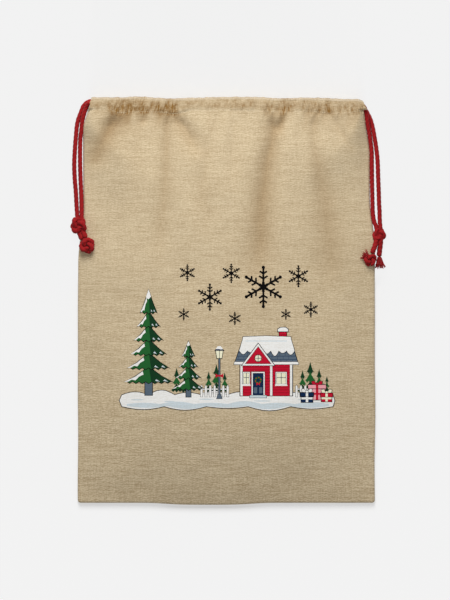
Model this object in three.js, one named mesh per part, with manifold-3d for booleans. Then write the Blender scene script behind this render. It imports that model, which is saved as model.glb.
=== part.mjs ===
// Drawstring gift sack of coarse jute cloth, lying empty on its back with its mouth towards +Y.
// Lengths are in millimetres, +X to the right and +Z up. The origin is the middle of the underside.
// Two cords run through the hems of the mouth, and each one comes out as a pair at its own corner.
import * as THREE from 'three';
import { mergeVertices } from 'three/addons/utils/BufferGeometryUtils.js';
import Module from 'manifold-3d';

const wasm = await Module();
wasm.setup();

// Cloth and the sack's outline
const sackLength = 685;
const sackWidth = 500;
const mouthWidth = 462;
const clothThickness = 1.2;
const sewnGap = 0.3;
const cornerRadius = 5;
const waistNarrowing = 8.5;
const waistLow = 60;
const waistHigh = 160;
const neckNarrowing = 10;
const neckLow = 240;

// Rise of the front cloth over the back cloth
const seamRoll = 3.9;
const crownLift = 21.6;
const sideRun = 200;
const neckSideRun = 28;
const bottomRun = 170;
const neckRun = 90;

// Rows and columns of the front cloth: those on the roll as shares of it, and the count beyond it
const rollRows = [0, 0.25, 0.6, 1, 2.3];
const rollColumns = [0, 0.15, 0.45, 1, 2.3, 4.6];
const rowCount = 18;
const rowCrowding = 1.25;
const columnCount = 14;

// Hem at the mouth and the cords that it holds
const hemHeight = 21;
const mouthGap = 5.4;
const hemTopRounding = 2.8;
const hemFootRounding = 1.3;
const leastRounding = 0.3;
const ruffleCount = 20;
const ruffleDepth = 1.1;
const cordDiameter = 6.5;
const boreClearance = 0.35;
const cordFacets = 8;
const cordStep = 1.6 * cordDiameter;
const runOut = 1;

// Overlocked allowance inside each seam
const allowanceWidth = 15.6;
const allowanceStart = 2.6;
const allowanceShoulder = 7;

// Knots
const knotCord = 5.6;
const knotGap = 0.5;
const knotSlack = 0.4;
const knotSteps = 42;
const knotFacets = 6;
const frayLength = 18;
const frayRadius = 5.4;
const frayFacets = 10;

const deg = Math.PI / 180;
const bottomY = -sackLength / 2;
const hemTopY = sackLength / 2;
const hemFootY = hemTopY - hemHeight;
const panelTopY = hemFootY - sewnGap;
const mouthHalf = mouthWidth / 2;
const cordRadius = cordDiameter / 2;
const hemDepth = cordDiameter + 2 * (boreClearance + clothThickness);
const rimZ = clothThickness + sewnGap;
const backRunZ = hemDepth / 2;
const frontHemZ = hemDepth + mouthGap;
const frontRunZ = frontHemZ + hemDepth / 2;

// The two cords share the height of the bore with equal spaces round them
const boreHeight = hemHeight - 2 * clothThickness;
const trackSpace = (boreHeight - 2 * cordDiameter) / 3;
const lowerTrackY = hemFootY + clothThickness + trackSpace + cordRadius;
const upperTrackY = lowerTrackY + cordDiameter + trackSpace;
const turnRadius = (frontRunZ - backRunZ) / 2;
const turnX = mouthHalf - turnRadius - cordRadius;

// Soft folds that run down from the hem: where they start and end across the sack, depth, width and foot
const foldOnset = 1 / 8;
const mainFolds = [
  { mouthX: -205, footX: -213, depth: 3.5, width: 22, footY: 200 },
  { mouthX: -115, footX: -112, depth: 4, width: 20, footY: 120 },
  { mouthX: 74, footX: 52, depth: 6, width: 20, footY: 40 },
  { mouthX: 147, footX: 166, depth: 4.5, width: 24, footY: 60 },
];

const sack = new THREE.Group();

const clothMaterial = new THREE.MeshStandardMaterial({ color: 0xc9b48a, roughness: 0.95, metalness: 0 });
const allowanceMaterial = new THREE.MeshStandardMaterial({ color: 0xd8c8a4, roughness: 0.95, metalness: 0 });
const cordMaterial = new THREE.MeshStandardMaterial({ color: 0xa3141f, roughness: 0.8, metalness: 0 });

function addPiece(name, geometry, material) {
  const mesh = new THREE.Mesh(geometry, material.clone());
  mesh.name = name;
  sack.add(mesh);
  return mesh;
}

function smooth(value) {
  const t = THREE.MathUtils.clamp(value, 0, 1);
  return t * t * (3 - 2 * t);
}

// Half the sack's width at a height, with the rounded bottom corner
function halfWidthAt(y) {
  const waist = waistNarrowing * smooth((y - waistLow) / (waistHigh - waistLow));
  const neck = neckNarrowing * smooth((y - neckLow) / (hemFootY - neckLow));
  const inCorner = Math.max(0, cornerRadius - (y - bottomY));
  const corner = cornerRadius - Math.sqrt(cornerRadius ** 2 - inCorner ** 2);
  return sackWidth / 2 - waist - neck - corner;
}

// Height of the front cloth's outer face, from its distances to the side and the bottom
function frontHeight(side, bottom, x, y) {
  const near = Math.max(0, Math.min(side, bottom, seamRoll)) / seamRoll;
  const roll = seamRoll * Math.sqrt(1 - (1 - near) ** 2);
  const mouthLift = frontRunZ + clothThickness / 2 - rimZ - seamRoll;
  const lift = THREE.MathUtils.lerp(mouthLift, crownLift, smooth((panelTopY - y) / neckRun));
  const run = THREE.MathUtils.lerp(neckSideRun, sideRun, smooth((panelTopY - y) / sideRun));
  const across = 1 - (1 - THREE.MathUtils.clamp(side / run, 0, 1)) ** 2;
  const along = 1 - (1 - THREE.MathUtils.clamp(bottom / bottomRun, 0, 1)) ** 2;
  return rimZ + roll + (lift - foldDepth(x, y)) * across * along;
}

function foldDepth(x, y) {
  let depth = 0;
  for (const fold of mainFolds) {
    const down = (panelTopY - y) / (panelTopY - fold.footY);
    const middle = THREE.MathUtils.lerp(fold.mouthX, fold.footX, Math.min(down, 1));
    const gather = smooth(down / foldOnset) * (1 - smooth(down));
    depth += fold.depth * gather * Math.exp(-(((x - middle) / fold.width) ** 2));
  }
  return depth;
}

// Closed geometry from rings of points that have the same count; the first and last ring are capped
function loftRings(rings, closed) {
  const count = rings[0].length;
  const positions = rings.flat().flatMap((p) => [p.x, p.y, p.z]);
  const index = [];
  const last = closed ? rings.length : rings.length - 1;
  for (let r = 0; r < last; r += 1) {
    const next = (r + 1) % rings.length;
    for (let i = 0; i < count; i += 1) {
      const j = (i + 1) % count;
      const a = r * count + i;
      const b = r * count + j;
      const c = next * count + j;
      const d = next * count + i;
      index.push(a, b, c, a, c, d);
    }
  }
  if (!closed) {
    const end = (rings.length - 1) * count;
    for (let i = 1; i < count - 1; i += 1) {
      index.push(0, i + 1, i);
      index.push(end, end + i, end + i + 1);
    }
  }
  return geometryFrom(positions, index);
}

function geometryFrom(positions, index) {
  const geometry = new THREE.BufferGeometry();
  geometry.setAttribute('position', new THREE.Float32BufferAttribute(positions, 3));
  geometry.setIndex(index);
  return geometry;
}

// Tube whose rings stay square to a list of points, without twist
function sweptTube(points, radius, facets, closed) {
  const rings = [];
  let side = new THREE.Vector3(0, 1, 0);
  for (let k = 0; k < points.length; k += 1) {
    const before = closed ? points.at(k - 1) : points[Math.max(k - 1, 0)];
    const after = closed ? points[(k + 1) % points.length] : points[Math.min(k + 1, points.length - 1)];
    const along = after.clone().sub(before).normalize();
    side = side.clone().addScaledVector(along, -side.dot(along)).normalize();
    const up = along.clone().cross(side);
    const ring = [];
    for (let i = 0; i < facets; i += 1) {
      const angle = ((i + 0.5) / facets) * 2 * Math.PI;
      const arm = side.clone().multiplyScalar(Math.cos(angle)).addScaledVector(up, Math.sin(angle));
      ring.push(points[k].clone().addScaledVector(arm, radius));
    }
    rings.push(ring);
  }
  return closed ? closeTwist(rings) : loftRings(rings, false);
}

// A closed tube's last ring is joined to the first one at the facet that lies nearest
function closeTwist(rings) {
  const count = rings[0].length;
  const lastRing = rings.at(-1);
  let shift = 0;
  for (let s = 1; s < count; s += 1) {
    const nearer = lastRing[s].distanceTo(rings[0][0]) < lastRing[shift].distanceTo(rings[0][0]);
    shift = nearer ? s : shift;
  }
  const body = loftRings(rings, false);
  const index = [...body.index.array].slice(0, (rings.length - 1) * count * 6);
  const end = (rings.length - 1) * count;
  for (let i = 0; i < count; i += 1) {
    const j = (i + 1) % count;
    const a = end + ((i + shift) % count);
    const b = end + ((j + shift) % count);
    index.push(a, b, j, a, j, i);
  }
  return geometryFrom([...body.attributes.position.array], index);
}

function toManifold(geometry) {
  const bare = geometry.clone();
  bare.deleteAttribute('normal');
  bare.deleteAttribute('uv');
  const merged = mergeVertices(bare, 1e-4);
  return new wasm.Manifold(new wasm.Mesh({
    numProp: 3,
    vertProperties: new Float32Array(merged.attributes.position.array),
    triVerts: new Uint32Array(merged.index.array),
  }));
}

function fromManifold(solid) {
  const mesh = solid.getMesh();
  return geometryFrom([...mesh.vertProperties], [...mesh.triVerts]);
}

// Distances of the front cloth's rows from the bottom, closer together at the roll and at the mouth
function frontRows() {
  const rows = rollRows.map((share) => share * seamRoll);
  const start = rows.at(-1);
  for (let i = 1; i <= rowCount; i += 1) {
    rows.push(THREE.MathUtils.lerp(start, panelTopY - bottomY, 1 - (1 - i / rowCount) ** rowCrowding));
  }
  return rows;
}

// Distances of its columns from the side, as shares of half the width
function frontColumns() {
  const half = sackWidth / 2;
  const columns = rollColumns.map((share) => (share * seamRoll) / half);
  const start = columns.at(-1);
  for (let i = 1; i <= columnCount; i += 1) {
    columns.push(THREE.MathUtils.lerp(start, 1, i / columnCount));
  }
  return columns;
}

// One face of the front cloth as rows of points; inset is 0 outside and the cloth's thickness inside
function frontFace(inset) {
  const length = panelTopY - bottomY;
  const share = frontColumns();
  const mirrored = [...share.map((s) => s - 1), ...share.slice(0, -1).reverse().map((s) => 1 - s)];
  return frontRows().map((rise) => {
    const y = bottomY + inset + rise * ((length - inset) / length);
    const half = halfWidthAt(y - inset) - inset;
    return mirrored.map((u) => {
      const x = u * half;
      const height = frontHeight(half - Math.abs(x), y - bottomY - inset, x, y) - inset;
      return new THREE.Vector3(x, y, Math.max(height, rimZ));
    });
  });
}

// The front cloth is a thin shell that is open below, towards the back cloth
function frontPanel() {
  const outer = frontFace(0);
  const inner = frontFace(clothThickness);
  const rows = outer.length;
  const columns = outer[0].length;
  const positions = [...outer.flat(), ...inner.flat()].flatMap((p) => [p.x, p.y, p.z]);
  const at = (row, column, layer) => (layer * rows + row) * columns + column;
  const index = [];
  const quad = (a, b, c, d) => index.push(a, b, c, a, c, d);
  for (let r = 0; r < rows - 1; r += 1) {
    for (let c = 0; c < columns - 1; c += 1) {
      quad(at(r, c, 0), at(r, c + 1, 0), at(r + 1, c + 1, 0), at(r + 1, c, 0));
      quad(at(r, c, 1), at(r + 1, c, 1), at(r + 1, c + 1, 1), at(r, c + 1, 1));
    }
    quad(at(r, 0, 0), at(r + 1, 0, 0), at(r + 1, 0, 1), at(r, 0, 1));
    quad(at(r, columns - 1, 0), at(r, columns - 1, 1), at(r + 1, columns - 1, 1), at(r + 1, columns - 1, 0));
  }
  for (let c = 0; c < columns - 1; c += 1) {
    quad(at(0, c, 0), at(0, c, 1), at(0, c + 1, 1), at(0, c + 1, 0));
    quad(at(rows - 1, c, 0), at(rows - 1, c + 1, 0), at(rows - 1, c + 1, 1), at(rows - 1, c, 1));
  }
  return geometryFrom(positions, index);
}

// Points up one side of the sack's outline
function sideOutline() {
  const quarters = [0, 0.25, 0.5, 0.75, 1];
  const between = (low, high) => quarters.map((share) => THREE.MathUtils.lerp(low, high, share));
  const corner = [0, 0.08, 0.3, 0.6, 1].map((share) => bottomY + share * cornerRadius);
  const heights = [...corner, ...between(waistLow, waistHigh), ...between(neckLow, panelTopY)];
  return heights.map((y) => new THREE.Vector2(halfWidthAt(y), y));
}

function backPanel() {
  const right = sideOutline();
  const left = right.map((p) => new THREE.Vector2(-p.x, p.y)).reverse();
  const outline = new THREE.Shape([...right, ...left]);
  return new THREE.ExtrudeGeometry(outline, { depth: clothThickness, bevelEnabled: false });
}

// Section of the hem: a rounded pocket, as points of (y, z), shrunk by inset for its bore
function hemSection(topY, lowZ, highZ, inset) {
  const foot = hemFootY + inset;
  const top = topY - inset;
  const low = lowZ + inset;
  const high = highZ - inset;
  const a = Math.max(hemFootRounding - inset / 2, leastRounding);
  const b = hemTopRounding - inset / 2;
  return [
    [foot + a, low], [top - b, low], [top, low + b], [top, high - b],
    [top - b, high], [foot + a, high], [foot, high - a], [foot, low + a],
  ];
}

// Hem tube with puckers along its top edge, and along its face where it lies uppermost
function hemTube(lowZ, highZ, faceRuffle) {
  const stations = 2 * ruffleCount;
  const rings = { outer: [], bore: [] };
  for (let s = 0; s <= stations; s += 1) {
    const x = THREE.MathUtils.lerp(-mouthHalf, mouthHalf, s / stations);
    const pucker = s % 2 === 1 ? 0 : ruffleDepth;
    const face = highZ + (faceRuffle ? ruffleDepth - pucker : 0);
    for (const [name, inset] of [['outer', 0], ['bore', clothThickness]]) {
      const section = hemSection(hemTopY - pucker, lowZ, face, inset);
      rings[name].push(section.map(([y, z]) => new THREE.Vector3(x, y, z)));
    }
  }
  const count = rings.outer[0].length;
  const all = [...rings.outer, ...rings.bore];
  const positions = all.flat().flatMap((p) => [p.x, p.y, p.z]);
  const at = (layer, station, i) => (layer * (stations + 1) + station) * count + (i % count);
  const index = [];
  const quad = (a, b, c, d) => index.push(a, b, c, a, c, d);
  for (let i = 0; i < count; i += 1) {
    for (let s = 0; s < stations; s += 1) {
      quad(at(0, s, i), at(0, s, i + 1), at(0, s + 1, i + 1), at(0, s + 1, i));
      quad(at(1, s, i), at(1, s + 1, i), at(1, s + 1, i + 1), at(1, s, i + 1));
    }
    quad(at(0, 0, i), at(1, 0, i), at(1, 0, i + 1), at(0, 0, i + 1));
    quad(at(0, stations, i), at(0, stations, i + 1), at(1, stations, i + 1), at(1, stations, i));
  }
  return geometryFrom(positions, index);
}

// At each end the hem's inner wall is slit, and the far cord turns back through both slits
function slitHem(tube, lowZ, highZ) {
  let solid = toManifold(tube);
  for (const end of [-1, 1]) {
    const slit = new THREE.BoxGeometry(2 * (mouthHalf - turnX), boreHeight, highZ - lowZ);
    slit.translate(end * mouthHalf, hemFootY + hemHeight / 2, (lowZ + highZ) / 2);
    solid = solid.subtract(toManifold(slit));
  }
  return fromManifold(solid);
}

// Seam allowance: two layers of cloth, thin where they meet the stitching and full beyond it
function allowanceSection() {
  const foot = rimZ;
  const top = rimZ + 2 * clothThickness;
  return [
    [allowanceStart, foot], [allowanceStart, foot + clothThickness / 2],
    [allowanceShoulder, top], [allowanceWidth, top], [allowanceWidth, foot],
  ];
}

function sideSeam(side) {
  const rings = sideOutline()
    .map((p) => p.y)
    .filter((y) => y > bottomY + cornerRadius)
    .map((y) => ringAcross(side, y));
  rings.unshift(ringAcross(side, bottomY + allowanceShoulder));
  return loftRings(side > 0 ? rings.reverse() : rings, false);
}

function ringAcross(side, y) {
  const half = halfWidthAt(y);
  return allowanceSection().map(([d, z]) => new THREE.Vector3(side * (half - d), y, z));
}

function bottomSeam() {
  const reach = sackWidth / 2 - allowanceWidth - sewnGap;
  const rings = [reach, -reach].map((x) => (
    allowanceSection().map(([d, z]) => new THREE.Vector3(x, bottomY + d, z))
  ));
  return loftRings(rings, false);
}

// Cord held in both hems: out through the front one, round the turn and back through the rear one
function cordLoop(exitSide, trackY) {
  const points = [new THREE.Vector3(exitSide * (mouthHalf + runOut), trackY, frontRunZ)];
  const turnSteps = 10;
  const turnZ = (frontRunZ + backRunZ) / 2;
  for (let k = 0; k <= turnSteps; k += 1) {
    const angle = (k / turnSteps) * Math.PI;
    points.push(new THREE.Vector3(
      -exitSide * (turnX + turnRadius * Math.sin(angle)),
      trackY,
      turnZ + turnRadius * Math.cos(angle),
    ));
  }
  points.push(new THREE.Vector3(exitSide * (mouthHalf + runOut), trackY, backRunZ));
  return sweptTube(points, cordRadius, cordFacets, false);
}

// Free cord along points chosen by hand
function freeCord(points) {
  const curve = new THREE.CatmullRomCurve3(points.map((p) => new THREE.Vector3(...p)));
  const section = new THREE.Shape();
  for (let i = 0; i < cordFacets; i += 1) {
    const angle = ((i + 0.5) / cordFacets) * 2 * Math.PI;
    const corner = [cordRadius * Math.cos(angle), cordRadius * Math.sin(angle)];
    if (i === 0) section.moveTo(...corner);
    else section.lineTo(...corner);
  }
  section.closePath();
  const steps = Math.max(3, Math.round(curve.getLength() / cordStep));
  return new THREE.ExtrudeGeometry(section, { steps, extrudePath: curve, bevelEnabled: false });
}

// Overhand knot: a cord that goes three times through its own ring, drawn tight
function overhandKnot(scale) {
  const lobe = scale * (knotCord + knotGap) / 2;
  const ring = lobe + scale * (knotCord + knotGap) / Math.sqrt(3) + scale * knotSlack;
  const points = [];
  for (let k = 0; k < knotSteps; k += 1) {
    const turn = (k / knotSteps) * 4 * Math.PI;
    const out = ring + lobe * Math.cos(1.5 * turn);
    points.push(new THREE.Vector3(out * Math.cos(turn), out * Math.sin(turn), lobe * Math.sin(1.5 * turn)));
  }
  return sweptTube(points, (scale * knotCord) / 2, knotFacets, true);
}

// Teased-out end of a cord, lying along -Y and widest at three quarters of its length
function frayedEnd() {
  const profile = [
    [0, 0], [cordRadius, 0], [cordRadius * 1.15, frayLength * 0.35],
    [frayRadius, frayLength * 0.75], [frayRadius * 0.9, frayLength], [0, frayLength],
  ].map(([r, along]) => new THREE.Vector2(r, along));
  const tuft = new THREE.LatheGeometry(profile, frayFacets);
  tuft.rotateX(Math.PI);
  return tuft;
}

function placeKnot(name, scale, place, tiltDegrees, turnDegrees) {
  const knot = addPiece(name, overhandKnot(scale), cordMaterial);
  knot.position.set(...place);
  knot.rotation.set(0, tiltDegrees * deg, turnDegrees * deg, 'YXZ');
  return knot;
}

// Cloth
addPiece('back_panel', backPanel(), clothMaterial);
addPiece('front_panel', frontPanel(), clothMaterial);
addPiece('back_casing', slitHem(hemTube(0, hemDepth, false), backRunZ, hemDepth + 1), clothMaterial);
const frontHem = hemTube(frontHemZ, frontHemZ + hemDepth, true);
addPiece('front_casing', slitHem(frontHem, frontHemZ - 1, frontRunZ), clothMaterial);
addPiece('left_seam', sideSeam(-1), allowanceMaterial);
addPiece('right_seam', sideSeam(1), allowanceMaterial);
addPiece('bottom_seam', bottomSeam(), allowanceMaterial);

// Left cord, in the upper track
const exitX = mouthHalf + runOut + sewnGap;
const floorZ = cordRadius + 0.05;
addPiece('left_cord_loop', cordLoop(-1, upperTrackY), cordMaterial);
addPiece('left_back_strand', freeCord([
  [-exitX, upperTrackY, backRunZ], [-exitX - 1.7, upperTrackY, backRunZ], [-236.8, 335, 4.7],
  [-239.4, 331.8, 4.4], [-241.9, 326.4, 4], [-244.4, 319, 3.6], [-247, 310, floorZ], [-251, 296, floorZ],
  [-253.4, 276, floorZ], [-254.9, 258, floorZ], [-256.3, 227, floorZ], [-255.4, 202, floorZ],
  [-254, 183.5, floorZ], [-253, 160, 4.4], [-251.8, 147, 6], [-251, 138.1, 7.4],
]), cordMaterial);
addPiece('left_front_strand', freeCord([
  [-exitX, upperTrackY, frontRunZ], [-exitX - 1.5, upperTrackY, frontRunZ], [-236.2, 335.1, 19.6],
  [-237.6, 332.2, 18.9], [-237.6, 327.5, 17.7], [-236.4, 320, 15.4], [-235.9, 312, 12.8], [-237.4, 303, 10],
  [-239.8, 293, 7.2], [-243, 280, 4.6], [-245, 267, 3.5], [-246, 253, floorZ], [-245.9, 227, floorZ],
  [-245.3, 202, floorZ],
  [-245.2, 183.5, 4.2], [-244.6, 160, 7.2], [-244.1, 147, 9], [-243.8, 138.5, 10.2],
]), cordMaterial);
placeKnot('left_join_knot', 1, [-248.6, 125.7, 10.2], -20, 90);
addPiece('left_back_tail', freeCord([
  [-247.7, 113.3, 9.8], [-245.2, 107, 11], [-242.9, 100.8, 12.6],
]), cordMaterial);
addPiece('left_front_tail', freeCord([
  [-241.3, 115.7, 12], [-239.1, 109.8, 13.2], [-236.8, 103.6, 14.6],
]), cordMaterial);
placeKnot('left_end_knot', 1, [-236, 91.7, 14.6], -14, -60);

// Right cord, in the lower track
addPiece('right_cord_loop', cordLoop(1, lowerTrackY), cordMaterial);
addPiece('right_back_strand', freeCord([
  [exitX, lowerTrackY, backRunZ], [exitX + 1.7, lowerTrackY, backRunZ], [236.6, 326.6, 4.7],
  [238.2, 323.6, 4.4], [238.9, 319, 4], [239.4, 313.5, 3.7], [241, 307, floorZ], [243.4, 300, floorZ],
  [246, 290, floorZ], [248.9, 275, floorZ], [251.6, 257.6, floorZ], [253.9, 237.4, floorZ],
  [255.3, 202, floorZ],
  [256.4, 178.4, floorZ], [257.6, 155, 4.2], [259.2, 137, 5], [261.4, 128, 5.8], [262.2, 122.8, 6.1],
]), cordMaterial);
addPiece('right_front_strand', freeCord([
  [exitX, lowerTrackY, frontRunZ], [exitX + 1.5, lowerTrackY, frontRunZ], [235.9, 326.6, 19.6],
  [237, 323.6, 18.9], [236.9, 319, 17.6], [236.3, 313, 15.2], [236.6, 305, 12.4], [237.6, 298, 10.2],
  [239, 289, 8], [241.4, 276, 5.2], [243.4, 262, 3.8], [244.9, 250, floorZ], [245.2, 226, floorZ],
  [245.3, 202, floorZ], [245.6, 178.4, floorZ], [246.4, 158, 3.8], [247.8, 145, 4.4], [250.1, 135, 5],
  [252.8, 128.5, 5.7], [255.3, 122, 6.1],
]), cordMaterial);
placeKnot('right_join_knot', 1, [258.9, 109.4, 6.3], 0, 90);
addPiece('right_front_tail', freeCord([
  [253.8, 97.9, 7.1], [250.9, 90.6, 9.3], [247.6, 83.6, 11.2], [244.7, 77.5, 12.2],
]), cordMaterial);
addPiece('right_back_tail', freeCord([
  [260.8, 98.1, 6.2], [260.9, 89.6, 5], [260.5, 81, 5.2], [260.4, 75, 5.6], [260.4, 72.6, 5.6],
]), cordMaterial);
placeKnot('right_front_end_knot', 0.85, [242, 67.4, 12.6], 10, -90);
const fray = addPiece('right_back_end_fray', frayedEnd(), cordMaterial);
fray.position.set(260.4, 72, frayRadius + 0.2);

export default sack;
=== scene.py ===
import math
import random
import bpy
import numpy as np
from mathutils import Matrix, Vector, geometry, noise


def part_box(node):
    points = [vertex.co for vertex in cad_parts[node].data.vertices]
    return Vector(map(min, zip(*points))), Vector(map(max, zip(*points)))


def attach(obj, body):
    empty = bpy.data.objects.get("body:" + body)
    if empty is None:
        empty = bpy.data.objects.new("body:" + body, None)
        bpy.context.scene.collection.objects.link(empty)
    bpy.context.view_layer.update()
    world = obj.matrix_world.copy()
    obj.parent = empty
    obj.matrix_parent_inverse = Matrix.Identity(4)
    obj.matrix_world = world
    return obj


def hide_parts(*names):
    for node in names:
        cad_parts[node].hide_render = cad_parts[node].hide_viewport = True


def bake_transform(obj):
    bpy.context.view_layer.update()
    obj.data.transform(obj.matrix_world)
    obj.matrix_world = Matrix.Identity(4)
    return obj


# Drawstring gift sack of jute cloth, lying on its back with the mouth towards +Y. Metres.
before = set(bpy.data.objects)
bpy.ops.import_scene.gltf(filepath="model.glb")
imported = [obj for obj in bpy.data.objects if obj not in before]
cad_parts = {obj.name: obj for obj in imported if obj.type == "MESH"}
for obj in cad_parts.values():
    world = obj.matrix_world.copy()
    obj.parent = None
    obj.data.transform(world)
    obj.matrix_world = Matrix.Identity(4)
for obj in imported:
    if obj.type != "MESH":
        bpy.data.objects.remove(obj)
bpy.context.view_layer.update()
bpy.context.scene.view_settings.view_transform = "Standard"
print("frame loaded")

mm = 0.001
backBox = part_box("back_panel")
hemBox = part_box("front_casing")
stitchDrop = 0.0025  # the stitching lies this far below the foot of the solid hem
sack = {
    "halfWidth": backBox[1].x,
    "bottomY": backBox[0].y,
    "hemFootY": hemBox[0].y - stitchDrop,
    "hemTopY": hemBox[1].y,
    "mouthHalf": hemBox[1].x,
    "thickness": backBox[1].z,
    "hemDepth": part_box("back_casing")[1].z,
    "frontHemZ": hemBox[0].z,
    "seamGap": 0.0003,
    "cornerRadius": 0.005,
    # where the sides draw in on their way up, and by how much
    "waist": {"low": 0.085, "high": 0.168, "narrowing": 0.0085},
    "leftWaist": {"low": 0.060, "high": 0.160, "narrowing": 0.0085},
    "neck": {"low": 0.240, "high": 0.3215, "narrowing": 0.0100},
    "leftNeck": {"low": 0.285, "high": 0.3380, "narrowing": 0.0122},
}
sack["rim"] = sack["thickness"] + sack["seamGap"]
sack["frontRunZ"] = sack["frontHemZ"] + sack["hemDepth"] / 2


# Helpers shared by all pieces

def smooth(value):
    t = np.clip(value, 0, 1)
    return t * t * (3 - 2 * t)


def mix(a, b, share):
    return a + (b - a) * share


def selectOnly(*pieces):
    bpy.ops.object.select_all(action="DESELECT")
    for piece in pieces:
        piece.select_set(True)
    bpy.context.view_layer.objects.active = pieces[0]


def applyModifier(piece, kind, **settings):
    selectOnly(piece)
    modifier = piece.modifiers.new(kind, kind)
    for key, value in settings.items():
        setattr(modifier, key, value)
    bpy.ops.object.modifier_apply(modifier=modifier.name)


def inEditMode(piece, work):
    selectOnly(piece)
    bpy.ops.object.mode_set(mode="EDIT")
    work()
    bpy.ops.object.mode_set(mode="OBJECT")


def mergeDoubles():
    bpy.ops.mesh.select_all(action="SELECT")
    bpy.ops.mesh.remove_doubles(threshold=1e-6)


def turnOutwards():
    bpy.ops.mesh.select_all(action="SELECT")
    bpy.ops.mesh.normals_make_consistent(inside=False)


def deleteFaces(piece, chosen):
    # chosen takes the face middles as an array and gives a mask
    middles = np.array([face.center for face in piece.data.polygons])

    def clearSelection():
        bpy.ops.mesh.select_mode(type="FACE")
        bpy.ops.mesh.select_all(action="DESELECT")

    inEditMode(piece, clearSelection)
    piece.data.polygons.foreach_set("select", chosen(middles))
    inEditMode(piece, lambda: bpy.ops.mesh.delete(type="FACE"))


def shapedGrid(name, columns, rows, place, paintedShadeAt=None):
    # A unit grid is added and each of its points moved by place(column, row) to a point and a UV in metres
    bpy.ops.object.select_all(action="DESELECT")
    bpy.ops.mesh.primitive_grid_add(x_subdivisions=columns, y_subdivisions=rows, size=1)
    piece = bpy.context.object
    piece.name = piece.data.name = name
    start = np.empty(len(piece.data.vertices) * 3)
    piece.data.vertices.foreach_get("co", start)
    start = start.reshape(-1, 3)
    column = np.rint((start[:, 0] + 0.5) * columns).astype(int)
    row = np.rint((start[:, 1] + 0.5) * rows).astype(int)
    points, uv = place(column, row)
    piece.data.vertices.foreach_set("co", points.ravel())
    corner = np.empty(len(piece.data.loops), dtype=np.int32)
    piece.data.loops.foreach_get("vertex_index", corner)
    piece.data.uv_layers[0].data.foreach_set("uv", uv[corner].ravel())
    # painted shade, when given, is kept on the points as the crease attribute
    if paintedShadeAt is not None:
        piece.data.attributes.new("crease", "FLOAT", "POINT").data.foreach_set("value", paintedShadeAt[row, column])
    piece.data.update()
    return piece


def runAlong(path):
    # distance from the path's start at each of its points
    return np.concatenate([[0], np.cumsum(np.linalg.norm(np.diff(path, axis=0), axis=1))])


def evenSteps(points, step):
    run = runAlong(points)
    count = max(3, round(run[-1] / step))
    even = np.linspace(0, run[-1], count + 1)
    return np.stack([np.interp(even, run, points[:, k]) for k in range(points.shape[1])], axis=1)


def throughPoints(points, step):
    # Centripetal Catmull-Rom curve through given points, cut into even steps
    p = np.array(points, float)
    p = np.vstack([2 * p[0] - p[1], p, 2 * p[-1] - p[-2]])
    t = np.linspace(0, 1, 16, endpoint=False)[:, None]
    fine = []
    for a, b, c, d in zip(p, p[1:], p[2:], p[3:]):
        ga, gb, gc = (math.sqrt(max(np.linalg.norm(n - m), 1e-9)) for m, n in ((a, b), (b, c), (c, d)))
        leave = ((b - a) / ga - (c - a) / (ga + gb) + (c - b) / gb) * gb
        arrive = ((c - b) / gb - (d - b) / (gb + gc) + (d - c) / gc) * gb
        fine.append(b * (2 * t**3 - 3 * t**2 + 1) + leave * (t**3 - 2 * t**2 + t)
                    + c * (3 * t**2 - 2 * t**3) + arrive * (t**3 - t**2))
    return evenSteps(np.vstack(fine + [p[-2:-1]]), step)


# Camera: straight down, at the scale of the photograph

photo = {
    "width": 450, "height": 600, "metresPerPixel": 0.0016835,
    "sackMiddle": (226.5, 300.0), "cameraZ": 2.0,
}


def addCamera():
    scale = photo["metresPerPixel"]
    x = (photo["width"] / 2 - photo["sackMiddle"][0]) * scale
    y = (photo["sackMiddle"][1] - photo["height"] / 2) * scale
    bpy.ops.object.camera_add(location=(x, y, photo["cameraZ"]), rotation=(0, 0, 0))
    camera = bpy.context.object
    camera.data.type = "ORTHO"
    camera.data.ortho_scale = photo["height"] * scale
    bpy.context.scene.camera = camera


addCamera()
print("camera placed")


# Material tools

def link(tree, value, socket):
    if isinstance(value, bpy.types.NodeSocket):
        tree.links.new(value, socket)
    else:
        socket.default_value = value


def addNode(tree, kind, *values, **settings):
    # values go to the node's inputs in their order
    node = tree.nodes.new("ShaderNode" + kind)
    for key, setting in settings.items():
        setattr(node, key, setting)
    for value, socket in zip(values, node.inputs):
        link(tree, value, socket)
    return node


def calc(tree, operation, *values):
    return addNode(tree, "Math", *values, operation=operation).outputs[0]


def vectorCalc(tree, operation, *values):
    node = addNode(tree, "VectorMath", *values, operation=operation)
    return node.outputs["Value" if operation in ("LENGTH", "DOT_PRODUCT") else "Vector"]


def partsOf(tree, vector):
    return addNode(tree, "SeparateXYZ", vector).outputs


def clamped(tree, value, slope=1, zeroAt=0):
    # 0 at zeroAt and from there up to 1, held at both ends
    if (slope, zeroAt) != (1, 0):
        value = calc(tree, "MULTIPLY_ADD", value, slope, -slope * zeroAt)
    return addNode(tree, "Clamp", value).outputs[0]


def softRamp(tree, value, between, low, high):
    return addNode(tree, "MapRange", value, *between, low, high, interpolation_type="SMOOTHSTEP").outputs[0]


def blendColours(tree, share, a, b, kind="MIX"):
    node = addNode(tree, "Mix", data_type="RGBA", blend_type=kind)
    link(tree, share, node.inputs["Factor"])
    for value, socket in ((a, node.inputs[6]), (b, node.inputs[7])):
        link(tree, value if isinstance(value, bpy.types.NodeSocket) else (*value, 1), socket)
    return node.outputs[2]


def noiseAt(tree, vector, detail):
    texture = addNode(tree, "TexNoise", vector)
    texture.inputs["Scale"].default_value = 1
    texture.inputs["Detail"].default_value = detail
    return texture.outputs["Fac"]


def stretchedNoise(tree, vector, scale, detail=2.0, offset=(0, 0, 0)):
    mapping = addNode(tree, "Mapping", vector, offset)
    mapping.inputs["Scale"].default_value = scale
    return noiseAt(tree, mapping.outputs[0], detail)


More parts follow.
